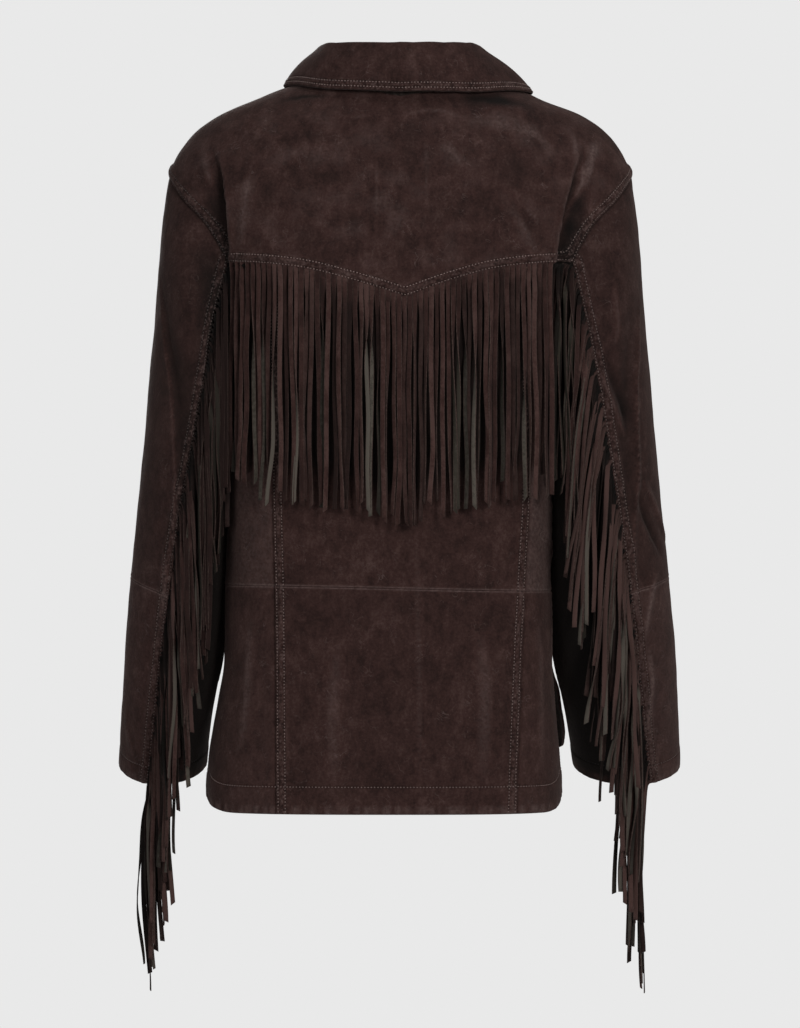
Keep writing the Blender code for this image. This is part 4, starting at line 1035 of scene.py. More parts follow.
def stitch_row(points, normals, rng):
    """Vertices and faces of a row of stitches along a line on the cloth."""
    along = np.concatenate(([0.0], np.cumsum(np.linalg.norm(np.diff(points, axis=0), axis=1))))
    count = int((along[-1] - STITCH_END) / STITCH_PITCH)
    vertices, faces = [], []

    def at(place, grid):
        return np.array([np.interp(place, along, grid[:, k]) for k in range(3)])

    for n in range(count):
        start = STITCH_START + n * STITCH_PITCH + rng.uniform(-STITCH_SHIFT, STITCH_SHIFT)
        length = STITCH_LENGTH * rng.uniform(*STITCH_STRETCH)
        first = len(vertices)
        tangent = at(start + length, points) - at(start, points)
        tangent /= np.linalg.norm(tangent) + TINY
        up = unit(at(start + length / 2, normals))
        side = np.cross(up, tangent)
        for share, height, girth in STITCH_RINGS:
            middle = at(start + share * length, points) + up * height
            for k in range(STITCH_SIDES):
                turn = 2 * math.pi * k / STITCH_SIDES
                vertices.append(middle + THREAD * girth * (math.cos(turn) * side
                                                           + math.sin(turn) * up))
        last = first + (len(STITCH_RINGS) - 1) * STITCH_SIDES
        for ring in range(first, last, STITCH_SIDES):
            for k in range(STITCH_SIDES):
                a, b = ring + k, ring + (k + 1) % STITCH_SIDES
                faces.append((a, a + STITCH_SIDES, b + STITCH_SIDES, b))
        faces.append(tuple(first + k for k in range(STITCH_SIDES)))
        faces.append(tuple(last + k for k in reversed(range(STITCH_SIDES))))
    return vertices, faces


def thread_shade(name, points):
    """Painted shade on the thread, more along the armholes."""
    shade = np.full(len(points), THREAD_SHADE.get(name, THREAD_SHADE_ELSEWHERE))
    for sign, dull in ARMHOLE_THREAD:
        near = armhole_distance(points, sign) < STRIP_WIDTH[1]
        shade[near] = np.maximum(shade[near], dull)
    return shade


def make_stitches(name, lines, seed):
    rng = np.random.default_rng(seed)
    vertices, faces = [], []
    for points, normals in lines:
        more, joined = stitch_row(points, normals, rng)
        faces += [tuple(v + len(vertices) for v in face) for face in joined]
        vertices += more
    if not vertices:
        return None
    vertices = np.array(vertices)
    return add_mesh(name + "_stitches", vertices, faces, THREADS,
                    attributes={"shade": thread_shade(name, vertices)})


# ---- materials ----------------------------------------------------------------------------
MIX_COLORS, MIX_RESULT = (6, 7), 2       # a mix node's sockets for colors


class Shading:
    """A material with short calls for its nodes, all read at places on the object."""

    def __init__(self, name):
        self.material = bpy.data.materials.new(name)
        self.material.use_nodes = True
        self.tree = self.material.node_tree
        self.shader = self.tree.nodes["Principled BSDF"]
        self.place = self.tree.nodes.new("ShaderNodeTexCoord").outputs["Object"]

    def link(self, source, target):
        self.tree.links.new(source, target)

    def noise(self, scale, detail=2.0, roughness=0.5, distortion=0.0, stretch=None):
        node = self.tree.nodes.new("ShaderNodeTexNoise")
        node.inputs["Scale"].default_value = scale
        node.inputs["Detail"].default_value = detail
        node.inputs["Roughness"].default_value = roughness
        node.inputs["Distortion"].default_value = distortion
        place = self.place
        if stretch:
            mapping = self.tree.nodes.new("ShaderNodeMapping")
            mapping.inputs["Scale"].default_value = stretch
            self.link(self.place, mapping.inputs["Vector"])
            place = mapping.outputs["Vector"]
        self.link(place, node.inputs["Vector"])
        return node.outputs["Fac"]

    def attribute(self, name):
        node = self.tree.nodes.new("ShaderNodeAttribute")
        node.attribute_name = name
        return node.outputs["Fac"]

    def math(self, operation, first, second):
        node = self.tree.nodes.new("ShaderNodeMath")
        node.operation = operation
        for socket, value in zip(node.inputs, (first, second)):
            if isinstance(value, (int, float)):
                socket.default_value = value
            else:
                self.link(value, socket)
        return node.outputs["Value"]

    def sharpen(self, value, low, high, start=0.0, end=1.0):
        """A value spread from low..high to start..end, with soft ends."""
        node = self.tree.nodes.new("ShaderNodeMapRange")
        node.interpolation_type = "SMOOTHSTEP"
        for label, number in (("From Min", low), ("From Max", high), ("To Min", start),
                              ("To Max", end)):
            node.inputs[label].default_value = number
        self.link(value, node.inputs["Value"])
        return node.outputs["Result"]

    def mix(self, factor, first, second):
        node = self.tree.nodes.new("ShaderNodeMix")
        node.data_type = "RGBA"
        self.link(factor, node.inputs["Factor"])
        for place, value in zip(MIX_COLORS, (first, second)):
            socket = node.inputs[place]
            if isinstance(value, tuple):
                socket.default_value = (*value, 1.0)
            else:
                self.link(value, socket)
        return node.outputs[MIX_RESULT]

    def done(self, color, look, height, distance, strength):
        """The finished material, from its color, its look and the height of its bump."""
        self.link(color, self.shader.inputs["Base Color"])
        self.set(**look)
        node = self.tree.nodes.new("ShaderNodeBump")
        node.inputs["Distance"].default_value = distance
        node.inputs["Strength"].default_value = strength
        self.link(height, node.inputs["Height"])
        self.link(node.outputs["Normal"], self.shader.inputs["Normal"])
        return self.material

    def set(self, **values):
        for label, value in values.items():
            self.shader.inputs[label.replace("_", " ")].default_value = value


NAP_DARK = (0.0181, 0.0082, 0.0070)
NAP_MIDDLE = (0.0348, 0.0162, 0.0139)
NAP_LIGHT = (0.0605, 0.0330, 0.0288)
# rubbed suede, and the color of painted highlights
WORN_AND_HIGHLIGHT = (0.0950, 0.0640, 0.0590)
# the color of painted shade
SHADED = (0.0036, 0.0026, 0.0022)
NAP_LOOK = {"Roughness": 0.93, "Sheen_Weight": 0.10, "Sheen_Roughness": 0.45,
            "Sheen_Tint": (0.80, 0.60, 0.55, 1.0), "Specular_IOR_Level": 0.15}
FIBRE_LOOK = {"Roughness": 0.95, "Specular_IOR_Level": 0.12}
THREAD_LOOK = {"Roughness": 0.62, "Specular_IOR_Level": 0.35}
# each noise: scale | detail | roughness | distortion | stretch
CLOUDS, SMEARS = (25.0, 4.0, 0.62, 0.2), (105.0, 5.0, 0.66, 0.2, (1.0, 1.0, 0.65))
GRAIN, FINE_GRAIN, COARSE_GRAIN = (420.0, 3.0, 0.6), (1100.0, 2.0), (130.0, 3.0, 0.6, 0.5)
WANDER, SCRATCHED, WRINKLES = (58.0, 3.0, 0.5, 0.9), (37.0, 3.0), (360.0, 3.0, 0.6)
MARKS, PATCHES = (150.0, 4.0, 0.7, 1.2), (24.0, 2.0, 0.5)
FLECKS, RUBBED = (640.0, 2.0, 0.5), (320.0, 3.0)
# what the nap's lightness is made of, and between which values it gets to each color
CLOUD_SHARE, SMEAR_SHARE, GRAIN_SHARE, LIGHTER = 0.38, 0.58, 0.36, 0.03
TO_MIDDLE, TO_LIGHT = (0.525, 0.745), (0.70, 0.90)
# the values of a noise between which a mark starts and ends, and its strength at both
SCRATCH, SCRATCH_PLACES = (0.0, 0.010, 0.60, 0.0), (0.50, 0.66)
# the seams' wrinkles: painted highlights and painted shade
WRINKLE_LIGHT, WRINKLE_DARK = (0.50, 0.66, 0.0, 0.55), (0.34, 0.48, 0.60, 0.0)
MARK, PATCH = (0.56, 0.74), (0.48, 0.66)
FLECK, RUB = (0.70, 0.78, 0.0, 0.55), (0.3, 0.7, 0.35, 1.0)
MARK_STRENGTH, PATCH_LEAST = 0.34, 0.15
# bump: distance | strength
NAP_BUMP, FINE_SHARE, STRIP_BUMP = (0.00045, 0.8), 0.6, (0.0004, 0.7)
# noise | from which to which value it goes from dark to pale | both colors | bump
FIBRES = {
    "suede_inside": ((240.0, 5.0, 0.65), (0.35, 0.68),
                     ((0.012, 0.0085, 0.0072), (0.030, 0.022, 0.019)), (0.0005, 0.7)),
    "fringe_flesh": ((300.0, 5.0, 0.65), (0.3, 0.80),
                     ((0.0310, 0.0265, 0.0208), (0.0800, 0.0695, 0.0580)), (0.0005, 0.7)),
    "fringe_cut_edge": ((520.0, 4.0, 0.6), (0.3, 0.7),
                        ((0.028, 0.017, 0.015), (0.076, 0.050, 0.043)), (0.0003, 0.6)),
    "brown_thread": ((1500.0, 2.0, 0.5), (0.35, 0.65),
                     ((0.150, 0.102, 0.092), (0.310, 0.230, 0.210)), (0.0001, 0.5))}
FLESH_TONE = 2.2           # a strip's tone counts this much more on its flesh side


def nap_color(shading, light):
    """Brushed suede: cloudy patches, blotches and small scuffs."""
    clouds, smears = shading.noise(*CLOUDS), shading.noise(*SMEARS)
    grain = shading.noise(*GRAIN)
    value = shading.math("MULTIPLY", clouds, CLOUD_SHARE)
    value = shading.math("ADD", value, shading.math("MULTIPLY", smears, SMEAR_SHARE))
    value = shading.math("ADD", value, shading.math("MULTIPLY", grain, GRAIN_SHARE))
    value = shading.math("ADD", value, shading.math("ADD", light, LIGHTER))
    color = shading.mix(shading.sharpen(value, *TO_MIDDLE), NAP_DARK, NAP_MIDDLE)
    return shading.mix(shading.sharpen(value, *TO_LIGHT), color, NAP_LIGHT), grain


def scratches(shading):
    """Fine curved scratches, in a few places."""
    wander = shading.math("SUBTRACT", shading.noise(*WANDER), 0.5)
    found = shading.sharpen(shading.math("ABSOLUTE", wander, 0.0), *SCRATCH)
    places = shading.sharpen(shading.noise(*SCRATCHED), *SCRATCH_PLACES)
    return shading.math("MULTIPLY", found, places)


def pucker_light_and_shade(shading, color):
    """Painted highlights and painted shade of short wrinkles between the stitches of a seam."""
    seam = shading.attribute("seam")
    wrinkles = shading.noise(*WRINKLES)
    light = shading.math("MULTIPLY", shading.sharpen(wrinkles, *WRINKLE_LIGHT), seam)
    dark = shading.math("MULTIPLY", shading.sharpen(wrinkles, *WRINKLE_DARK), seam)
    return shading.mix(dark, shading.mix(light, color, WORN_AND_HIGHLIGHT), SHADED)


def scuffs(shading, color, worn):
    """Small pale scuffs and scratches, the rubbed places with painted highlights on some panels,
    and the painted shade.
    """
    marks = shading.math("MULTIPLY", shading.sharpen(shading.noise(*MARKS), *MARK), MARK_STRENGTH)
    patches = shading.sharpen(shading.noise(*PATCHES), *PATCH)
    marks = shading.math("MULTIPLY", marks, shading.math("ADD", patches, PATCH_LEAST))
    marks = shading.math("ADD", marks, scratches(shading))
    marks = shading.math("ADD", marks, shading.sharpen(shading.noise(*FLECKS), *FLECK))
    # the rubbed places, with painted highlights on some panels
    rubbed = shading.math("MULTIPLY", shading.math("MAXIMUM", worn, 0.0),
                          shading.sharpen(shading.noise(*RUBBED), *RUB))
    color = shading.mix(shading.math("ADD", marks, rubbed), color, WORN_AND_HIGHLIGHT)
    # painted shade where the attribute is below 0
    dark = shading.math("MAXIMUM", shading.math("MULTIPLY", worn, -1.0), 0.0)
    return shading.mix(dark, color, SHADED)


def suede_material():
    shading = Shading("brown_suede")
    color, grain = nap_color(shading, 0.0)
    color = pucker_light_and_shade(shading, scuffs(shading, color, shading.attribute("worn")))
    fine = shading.math("MULTIPLY", shading.noise(*FINE_GRAIN), FINE_SHARE)
    nap = shading.math("ADD", shading.math("ADD", grain, fine), shading.noise(*COARSE_GRAIN))
    return shading.done(color, NAP_LOOK, nap, *NAP_BUMP)


def deep_shade(shading, color):
    """Painted shade where a strip lies deep among the others, and on the thread where it lies out
    of the light.
    """
    return shading.mix(shading.attribute("shade"), color, SHADED)


def fringe_nap_material():
    shading = Shading("fringe_nap")
    color, grain = nap_color(shading, shading.attribute("tone"))
    return shading.done(deep_shade(shading, color), NAP_LOOK, grain, *STRIP_BUMP)


def fibre_material(name, look=FIBRE_LOOK, shaded=True, tone=0.0):
    shading = Shading(name)
    noise_values, spread_values, (dark, pale), bump = FIBRES[name]
    fibres = shading.noise(*noise_values)
    if tone:
        toned = shading.math("MULTIPLY", shading.attribute("tone"), tone)
        fibres = shading.math("ADD", fibres, toned)
    color = shading.mix(shading.sharpen(fibres, *spread_values), dark, pale)
    color = deep_shade(shading, color) if shaded else color
    return shading.done(color, look, fibres, *bump)


CLOTH = [suede_material(), fibre_material("suede_inside", shaded=False)]
THREADS = [fibre_material("brown_thread", THREAD_LOOK)]
# a strip's nap side, its flesh side and its cut edges
STRIP_SIDES = [fringe_nap_material(), fibre_material("fringe_flesh", tone=FLESH_TONE),
               fibre_material("fringe_cut_edge")]


# ---- the panels of the body ------------------------------------------------------------------
BODY_SAMPLES, BODY_SAMPLE_HEIGHTS = (721, 361), (-0.72, 0.0)


def torso_sample():
    angles, heights = np.meshgrid(np.linspace(-FRONT_ANGLE, FRONT_ANGLE, BODY_SAMPLES[0]),
                                  np.linspace(*BODY_SAMPLE_HEIGHTS, BODY_SAMPLES[1]))
    points, normals = torso_surface(np.stack((angles, heights), axis=-1))
    return points.reshape(-1, 3), normals.reshape(-1, 3)


BODY = Folds(BODY_FOLDS, *torso_sample())
ARMHOLE_STEP = 0.002
ARMHOLE_FADE, SLEEVE_FADE = 0.012, 0.016       # creases die out this far from the armhole
# painted shade, where the fringe keeps the light off
FRINGE_SHADE = 0.80        # of the body below the back fringe, between these heights from the
FRINGE_DARK_TOP, FRINGE_DARK_END = (-0.004, -0.020), (0.016, 0.050)    # seam and from its ends
FRINGE_DARK_SIDE = 0.006
ARMHOLE_SHADE, ARMHOLE_DARK = 0.85, (0.010, 0.030)     # painted shade of the side backs along the armhole, and how far
# painted shade of the fronts' sides, which show behind the vents: by how they face and by their
# height
FRONT_DARK_TURN, FRONT_DARK_TOP = (-0.50, -0.15), (-0.540, -0.580)
UNDER_SLEEVE_TURN = (-0.75, -0.05)             # the under sleeves get painted shade as they face back


def armhole_distance(points, sign):
    seam = np.array(armhole_points(sign, BACK_KNOT, BACK_KNOT))
    return distance_to(points, close_line(torso_point(seam[:, 0], seam[:, 1]), ARMHOLE_STEP))


class TorsoPanel(Panel):
    """A panel of the body: its creases die out at the armholes."""

    def fade(self):
        near = np.minimum(armhole_distance(self.points, 1), armhole_distance(self.points, -1))
        return smooth(0.0, ARMHOLE_FADE, near)

    def shade(self):
        """Painted shade under the fringe, out of the light, along the side backs' armholes and on
        the fronts' sides behind the vents.
        """
        across, height = self.points[..., 0], self.points[..., 2]
        left, right = BACK_FRINGE_ENDS
        seam = YOKE_SEAM.at("height", across)
        below = smooth(*FRINGE_DARK_TOP, height - seam) * smooth(
            FRINGE_DARK_END[0] - BACK_FRINGE_LENGTH, FRINGE_DARK_END[1] - BACK_FRINGE_LENGTH,
            height - seam)
        inside = (smooth(right, right + FRINGE_DARK_SIDE, across)
                  * (1 - smooth(left - FRINGE_DARK_SIDE, left, across)))
        behind = self.normals[..., 1] > 0
        shade = FRINGE_SHADE * below * inside * behind * ("yoke" not in self.name)
        if self.name.startswith("back_side_upper"):
            sign = 1 if self.name.endswith("left") else -1
            near = 1 - smooth(*ARMHOLE_DARK, armhole_distance(self.points, sign))
            shade = np.maximum(shade, ARMHOLE_SHADE * near)
        if self.name.startswith("front"):
            shade = (FRINGE_SHADE * smooth(*FRONT_DARK_TURN, self.normals[..., 1])
                     * smooth(*FRONT_DARK_TOP, height))
        return shade


class SleevePanel(Panel):
    """A panel of a sleeve: its creases die out at the armhole."""

    def fade(self):
        sign = 1 if self.points[..., 0].mean() > 0 else -1
        return smooth(0.0, SLEEVE_FADE, armhole_distance(self.points, sign))

    def shade(self):
        if not self.name.startswith("under"):
            return 0.0
        # painted shade on the under sleeves, darker as they face back
        return smooth(*UNDER_SLEEVE_TURN, self.normals[..., 1])


def body_panel(name, bottom, top, left, right):
    edges = {"bottom": bottom, "top": top, "left": left, "right": right}
    step = PLAIN_STEP if name.startswith("front") else CLOTH_STEP
    finish_panel(TorsoPanel(name, torso_surface, edges, BODY, step))


def finish_panel(panel):
    made = shell(panel.name + "_suede", panel.outer, panel.inner,
                 {"worn": panel.worn, "seam": panel.seam}, CLOTH)
    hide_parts(panel.name)
    stitches = make_stitches(panel.name, panel.stitch_lines(), len(panel.name))


def make_yoke():
    outer = armhole_points(1, YOKE_FRONT_KNOT, BACK_KNOT)[:-1]
    stops = [yoke_corner(1), seam_reach("left")[0], YOKE_POINT, seam_reach("right")[0],
             yoke_corner(-1)]
    counts = [SIDE_STEPS, CENTER_STEPS // 2, CENTER_STEPS // 2, SIDE_STEPS]
    for start, end, steps in zip(stops, stops[1:], counts):
        outer += yoke_seam(start, end, steps)[:-1]
    outer += armhole_points(-1, YOKE_FRONT_KNOT, BACK_KNOT)[::-1]
    neck = neckline(CHEST_SEAM_NECK_ANGLE, -CHEST_SEAM_NECK_ANGLE, len(outer) - 1)
    body_panel("back_yoke", [("strip", outer)], [("neck", neck)],
               [("strip", chest_seam(1))], [("strip", chest_seam(-1))])


def make_center_back():
    tops = {side: seam_reach(side) for side, _ in SIDES}
    yoke_edge = yoke_seam(tops["left"][0], YOKE_POINT, CENTER_STEPS // 2)[:-1]
    yoke_edge += yoke_seam(YOKE_POINT, tops["right"][0], CENTER_STEPS // 2)
    upper = [long_seam_points(side, waist_crossing(side), tops[side][1], UPPER_STEPS)
             for side, _ in SIDES]
    lower = [long_seam_points(side, BACK_HEM, waist_crossing(side), LOWER_STEPS)
             for side, _ in SIDES]
    waist = line(upper[0][0], upper[1][0], CENTER_STEPS)
    hem = line(lower[0][0], lower[1][0], CENTER_STEPS)
    body_panel("back_center_upper", [("plain", waist)], [("under", yoke_edge)],
               [("strip", upper[0])], [("strip", upper[1])])
    body_panel("back_center_lower", [("hem", hem)], [("plain", waist)],
               [("strip", lower[0])], [("strip", lower[1])])


def make_side_back(side, sign):
    across, top = seam_reach(side)
    crossing = waist_crossing(side)
    inner = long_seam_points(side, crossing, top, UPPER_STEPS)
    waist = line(inner[0], side_waist(sign), SIDE_STEPS)
    yoke_edge = yoke_seam(across, yoke_corner(sign), SIDE_STEPS)
    armhole = armhole_points(sign, BACK_KNOT, UNDERARM_KNOT)[::-1]
    seam = line(side_waist(sign), armhole[0], SIDE_SEAM_STEPS)
    body_panel("back_side_upper_" + side, [("plain", waist)], [("under", yoke_edge)],
               [("under", inner)], [("plain", seam), ("under", armhole)])
    inner = long_seam_points(side, BACK_HEM, crossing, LOWER_STEPS)
    hem = hem_edge(sign, BACK_HEM, 1, inner[0][0], SIDE_STEPS - CORNER_STEPS)
    vent, seam = vent_edges(sign, BACK_HEM, 1)
    body_panel("back_side_lower_" + side, [("hem", hem)], [("plain", waist)],
               [("under", inner)], [("free", vent), ("plain", seam)])


def make_front(side, sign):
    armhole = armhole_points(sign, UNDERARM_KNOT, YOKE_FRONT_KNOT)
    side_seam = line(side_waist(sign), armhole[0], SIDE_SEAM_STEPS)
    vent, low_seam = vent_edges(sign, FRONT_HEM, -1)
    outer = [("free", vent), ("plain", low_seam + side_seam[1:]), ("strip", armhole)]
    count = sum(len(part) - 1 for _, part in outer) + 1
    neck_height = NECKLINE.at("height", FRONT_ANGLE)
    free = [front_edge(sign, height) for height in np.linspace(FRONT_HEM, neck_height, count)]
    neck = line(free[-1], chest_seam(sign)[-1], NECK_STEPS_FRONT)
    neck = [(angle, NECKLINE.at("height", abs(angle))) for angle, _ in neck]
    neck[0] = free[-1]
    hem = hem_edge(sign, FRONT_HEM, -1, free[0][0], FRONT_HEM_STEPS)
    body_panel("front_" + side, [("hem", hem)],
               [("neck", neck), ("under", chest_seam(sign)[::-1])], [("free", free)], outer)


# ---- collar -----------------------------------------------------------------------------------
COLLAR_STEP = 0.0028
COLLAR_TUCK = (0.0020, 0.0040)           # the stand's edge is sewn inside the neckline
COLLAR_ROWS, COLLAR_COLUMNS = 64, 241
COLLAR_EDGE_STEPS, COLLAR_END_STEPS = 121, 60
COLLAR_CALM = 0.5          # share of the body's unevenness
FALL_START, FALL_OUT = 0.16, 0.6         # the fall starts so far below the fold and out from it


def collar_profile(angle):
    """The collar's outside at an angle: up the stand, over the fold and down the fall."""
    turn = abs(angle)
    base = torso_point(angle, NECKLINE.at("height", turn)) + (0, 0, COLLAR_REST)
    out = np.array((base[0], base[1], 0.0))
    out /= np.linalg.norm(out)
    up = np.array((0.0, 0.0, 1.0))
    fold = base + out * COLLAR.at("fold_out", turn) + up * COLLAR.at("fold_up", turn)
    droop = COLLAR_RIGHT_DROOP * math.sin(math.radians(turn)) ** 2 if angle < 0 else 0.0
    rest = (math.copysign(COLLAR.at("edge_angle", turn), angle),
            COLLAR.at("edge_height", turn) - droop)
    edge = torso_point(*rest) + out * COLLAR.at("edge_off", turn)
    stand_top = fold - out * FOLD_HALF - up * FOLD_DEPTH
    fall_top = fold + (edge - fold) * FALL_START + out * FOLD_HALF * FALL_OUT
    bulge = (out + up) * FALL_BULGE
    rise, fall = (stand_top - base) / 3, (edge - fall_top) / 3
    tucked = base - out * COLLAR_TUCK[0] - up * COLLAR_TUCK[1]
    knots = [tucked, base + rise, base + 2 * rise, stand_top, fold, fall_top,
             fall_top + fall + bulge, fall_top + 2 * fall + bulge, edge]
    return smooth_path(knots, COLLAR_ROWS)


class CollarSurface:
    """The collar's outside, read at an angle and a row."""

    def __init__(self):
        self.end = abs(front_edge(1, NECKLINE.at("height", FRONT_ANGLE))[0])
        self.angles = np.linspace(self.end, -self.end, COLLAR_COLUMNS)
        self.points = np.array([collar_profile(angle) for angle in self.angles])
        along = np.gradient(self.points, axis=0)
        up = np.gradient(self.points, axis=1)
        normals = unit(np.cross(up, along))
        fold = COLLAR_ROWS // 2
        self.normals = normals * np.sign(normals[:, fold, 2].sum())

    def __call__(self, values):
        column = (self.end - values[..., 0]) / (2 * self.end) * (len(self.angles) - 1)
        row = values[..., 1] * (COLLAR_ROWS - 1)
        i = np.clip(np.floor(column).astype(int), 0, len(self.angles) - 2)
        j = np.clip(np.floor(row).astype(int), 0, COLLAR_ROWS - 2)
        u, v = (column - i)[..., None], (row - j)[..., None]
        found = []
        for grid in (self.points, self.normals):
            found.append((1 - u) * (1 - v) * grid[i, j] + u * (1 - v) * grid[i + 1, j]
                         + (1 - u) * v * grid[i, j + 1] + u * v * grid[i + 1, j + 1])
        return found[0], unit(found[1])


def make_collar():
    surface = CollarSurface()
    end = surface.end
    around = np.linspace(end, -end, COLLAR_EDGE_STEPS)
    base = [(angle, 0.0) for angle in around]
    edge = [(angle, 1.0) for angle in around]
    starts = [(end, row) for row in np.linspace(0, 1, COLLAR_END_STEPS)]
    stops = [(-end, row) for row in np.linspace(0, 1, COLLAR_END_STEPS)]
    edges = {"bottom": [("neck", base)], "top": [("collar", edge)],
             "left": [("collar", starts)], "right": [("collar", stops)]}
    no_folds = Folds({}, np.zeros((1, 3)), np.zeros((1, 3)))
    finish_panel(Panel("collar", surface, edges, no_folds, COLLAR_STEP, COLLAR_CALM,
                       COLLAR_SUEDE))


# ---- sleeves ------------------------------------------------------------------------------
SLEEVE_EDGE_STEPS, SLEEVE_SAMPLES = 100, 200
UNDER_SLEEVE_CALM = 0.35
# name | rings | columns | kinds of its edges | spacing of its grid | share of the unevenness
SLEEVE_PANELS = (
    ("top_sleeve_upper_", (0, ELBOW_RING), (0, TOP_COLUMNS),
     ("under", "plain", "strip", "plain"), CLOTH_STEP, 1.0),
    ("top_sleeve_lower_", (ELBOW_RING, CUFF_RING), (0, TOP_COLUMNS),
     ("plain", "cuff", "strip", "plain"), CLOTH_STEP, 1.0),
    ("under_sleeve_", (0, CUFF_RING), (TOP_COLUMNS, ALL_COLUMNS),
     ("under", "cuff", "plain", "under"), PLAIN_STEP, UNDER_SLEEVE_CALM))


def sleeve_edges(sleeve, first_ring, last_ring, first_column, last_column, kinds):
    """Four straight edges between two rings and two columns."""
    start, stop = sleeve.places[first_ring], sleeve.places[last_ring]
    columns = last_column - first_column
    corners = [(start, first_column), (start, last_column), (stop, first_column),
               (stop, last_column)]
    return {"bottom": [(kinds[0], line(corners[0], corners[1], columns))],
            "top": [(kinds[1], line(corners[2], corners[3], columns))],
            "left": [(kinds[2], line(corners[0], corners[2], SLEEVE_EDGE_STEPS))],
            "right": [(kinds[3], line(corners[1], corners[3], SLEEVE_EDGE_STEPS))]}


def make_sleeve(side):
    sleeve = SLEEVES[side]
    sample = np.stack(np.meshgrid(np.linspace(0, sleeve.places[-1], SLEEVE_SAMPLES),
                                  np.linspace(0, ALL_COLUMNS, SLEEVE_SAMPLES)), axis=-1)
    points, normals = sleeve.surface(sample)
    folds = Folds(SLEEVE_FOLDS[side], points.reshape(-1, 3), normals.reshape(-1, 3))
    for name, span, columns, kinds, step, calm in SLEEVE_PANELS:
        edges = sleeve_edges(sleeve, *span, *columns, kinds)
        finish_panel(SleevePanel(name + side, sleeve.surface, edges, folds, step, calm))


# ---- fringe -------------------------------------------------------------------------------
STRIP = 0.0050             # width of a cut strip
STRIP_SUEDE = 0.0011       # its thickness
BACK_STRIPS = 60
BACK_FRINGE_ENDS = (0.168, -0.150)
BACK_FRINGE_LENGTH = 0.229
BACK_FRINGE_CLEARANCE = 0.0009
SLEEVE_STRIPS = 108
SLEEVE_FRINGE_LENGTH = 0.207
SLEEVE_FRINGE_DEPTH = 0.014
SLEEVE_TOP_LAYER = 0.45    # share of the strips that lie on top of the rest
# painted shade of the sleeve strips' tops, and of the back strips that hang deep
SLEEVE_ROOT_SHADE = 0.25
BACK_DEEP_SHADE = 0.60
SLEEVE_FRINGE_START = 0.04
FRINGE_CLEARANCE = 0.0014
STRIP_KINK = 0.005         # how far aside, for its whole length, a strip goes after a kink
TOP_CURL = 0.0020          # the strips come out of the sleeve's seam sideways by this much
BACK_EDGE_SWAY = 0.0012    # the first and last strips hang this far out
EDGE_STRIPS = 3
# left of the yoke's point the slits start this much lower
SLIT_LOW, SLIT_LOW_AT, SLIT_LOW_REACH = 0.008, 0.025, 0.045
# how far in from the seam the strips have drifted at their ends, least and most
SLEEVE_FRINGE_DRIFT = Table(("place", "left_least", "left_most", "right_least", "right_most"), [
    (0.00, -0.001, 0.004, 0.000, 0.008), (0.12, -0.001, 0.003, 0.002, 0.024),
    (0.22, 0.000, 0.007, 0.003, 0.029), (0.38, 0.000, 0.013, 0.003, 0.027),
    (0.50, -0.001, 0.013, 0.003, 0.025), (0.62, -0.002, 0.012, 0.002, 0.022),
    (0.75, -0.003, 0.011, 0.000, 0.020), (0.90, -0.004, 0.006, -0.002, 0.016),
    (1.00, -0.009, -0.004, -0.005, 0.003)])
FIRST_STRIPS, FIRST_STRIPS_APART = 6, 0.0028    # these hang from the armhole's seam
# how pale the strips on top are: their tone with painted light and shade, darker at the top of the
# left sleeve and paler on the right
SLEEVE_FRINGE_LIGHT_AND_TONE = Table(("place", "left", "right"), [
    (0.0, -0.26, -0.04), (0.2, -0.24, 0.14), (0.45, -0.06, 0.36), (0.7, 0.24, 0.46),
    (1.0, 0.20, 0.28)])
# how much painted shade they get, from 0 to 1, in the shade of the arm
SLEEVE_FRINGE_SHADE = Table(("place", "left", "right"), [
    (0.0, 0.42, 0.10), (0.25, 0.36, 0.0), (0.50, 0.20, 0.0), (0.75, 0.0, 0.0), (1.0, 0.0, 0.0)])
# the share of a strip's fall by which it has drifted that far
SLEEVE_DRIFT_SETTLE = Table(("place", "share"), [
    (0.0, 0.30), (0.12, 0.45), (0.35, 0.80), (0.7, 0.6), (1.0, 0.12)])
STRIP_STEPS = 34           # along a strip
BUNCH_SIZES = (2, 6)       # strips of a bunch, from and below
PHASES = (0, 6)
# how far a strip has turned at its free end, in degrees: this share of them hang nearly flat
FLAT_SHARE, FLAT_TURN = 0.44, 14
TURNED = ((0.64, 30, 75), (0.72, 80, 110), (1.0, 160, 200))      # up to which share | from | to
# the strip's section: share of the half width and of the half thickness, and its side
SECTION = ((-1.0, -0.55, 2), (-0.84, -1.0, 1), (0.84, -1.0, 2), (1.0, -0.55, 2), (1.0, 0.55, 2),
           (0.84, 1.0, 0), (-0.84, 1.0, 2), (-1.0, 0.55, 2))


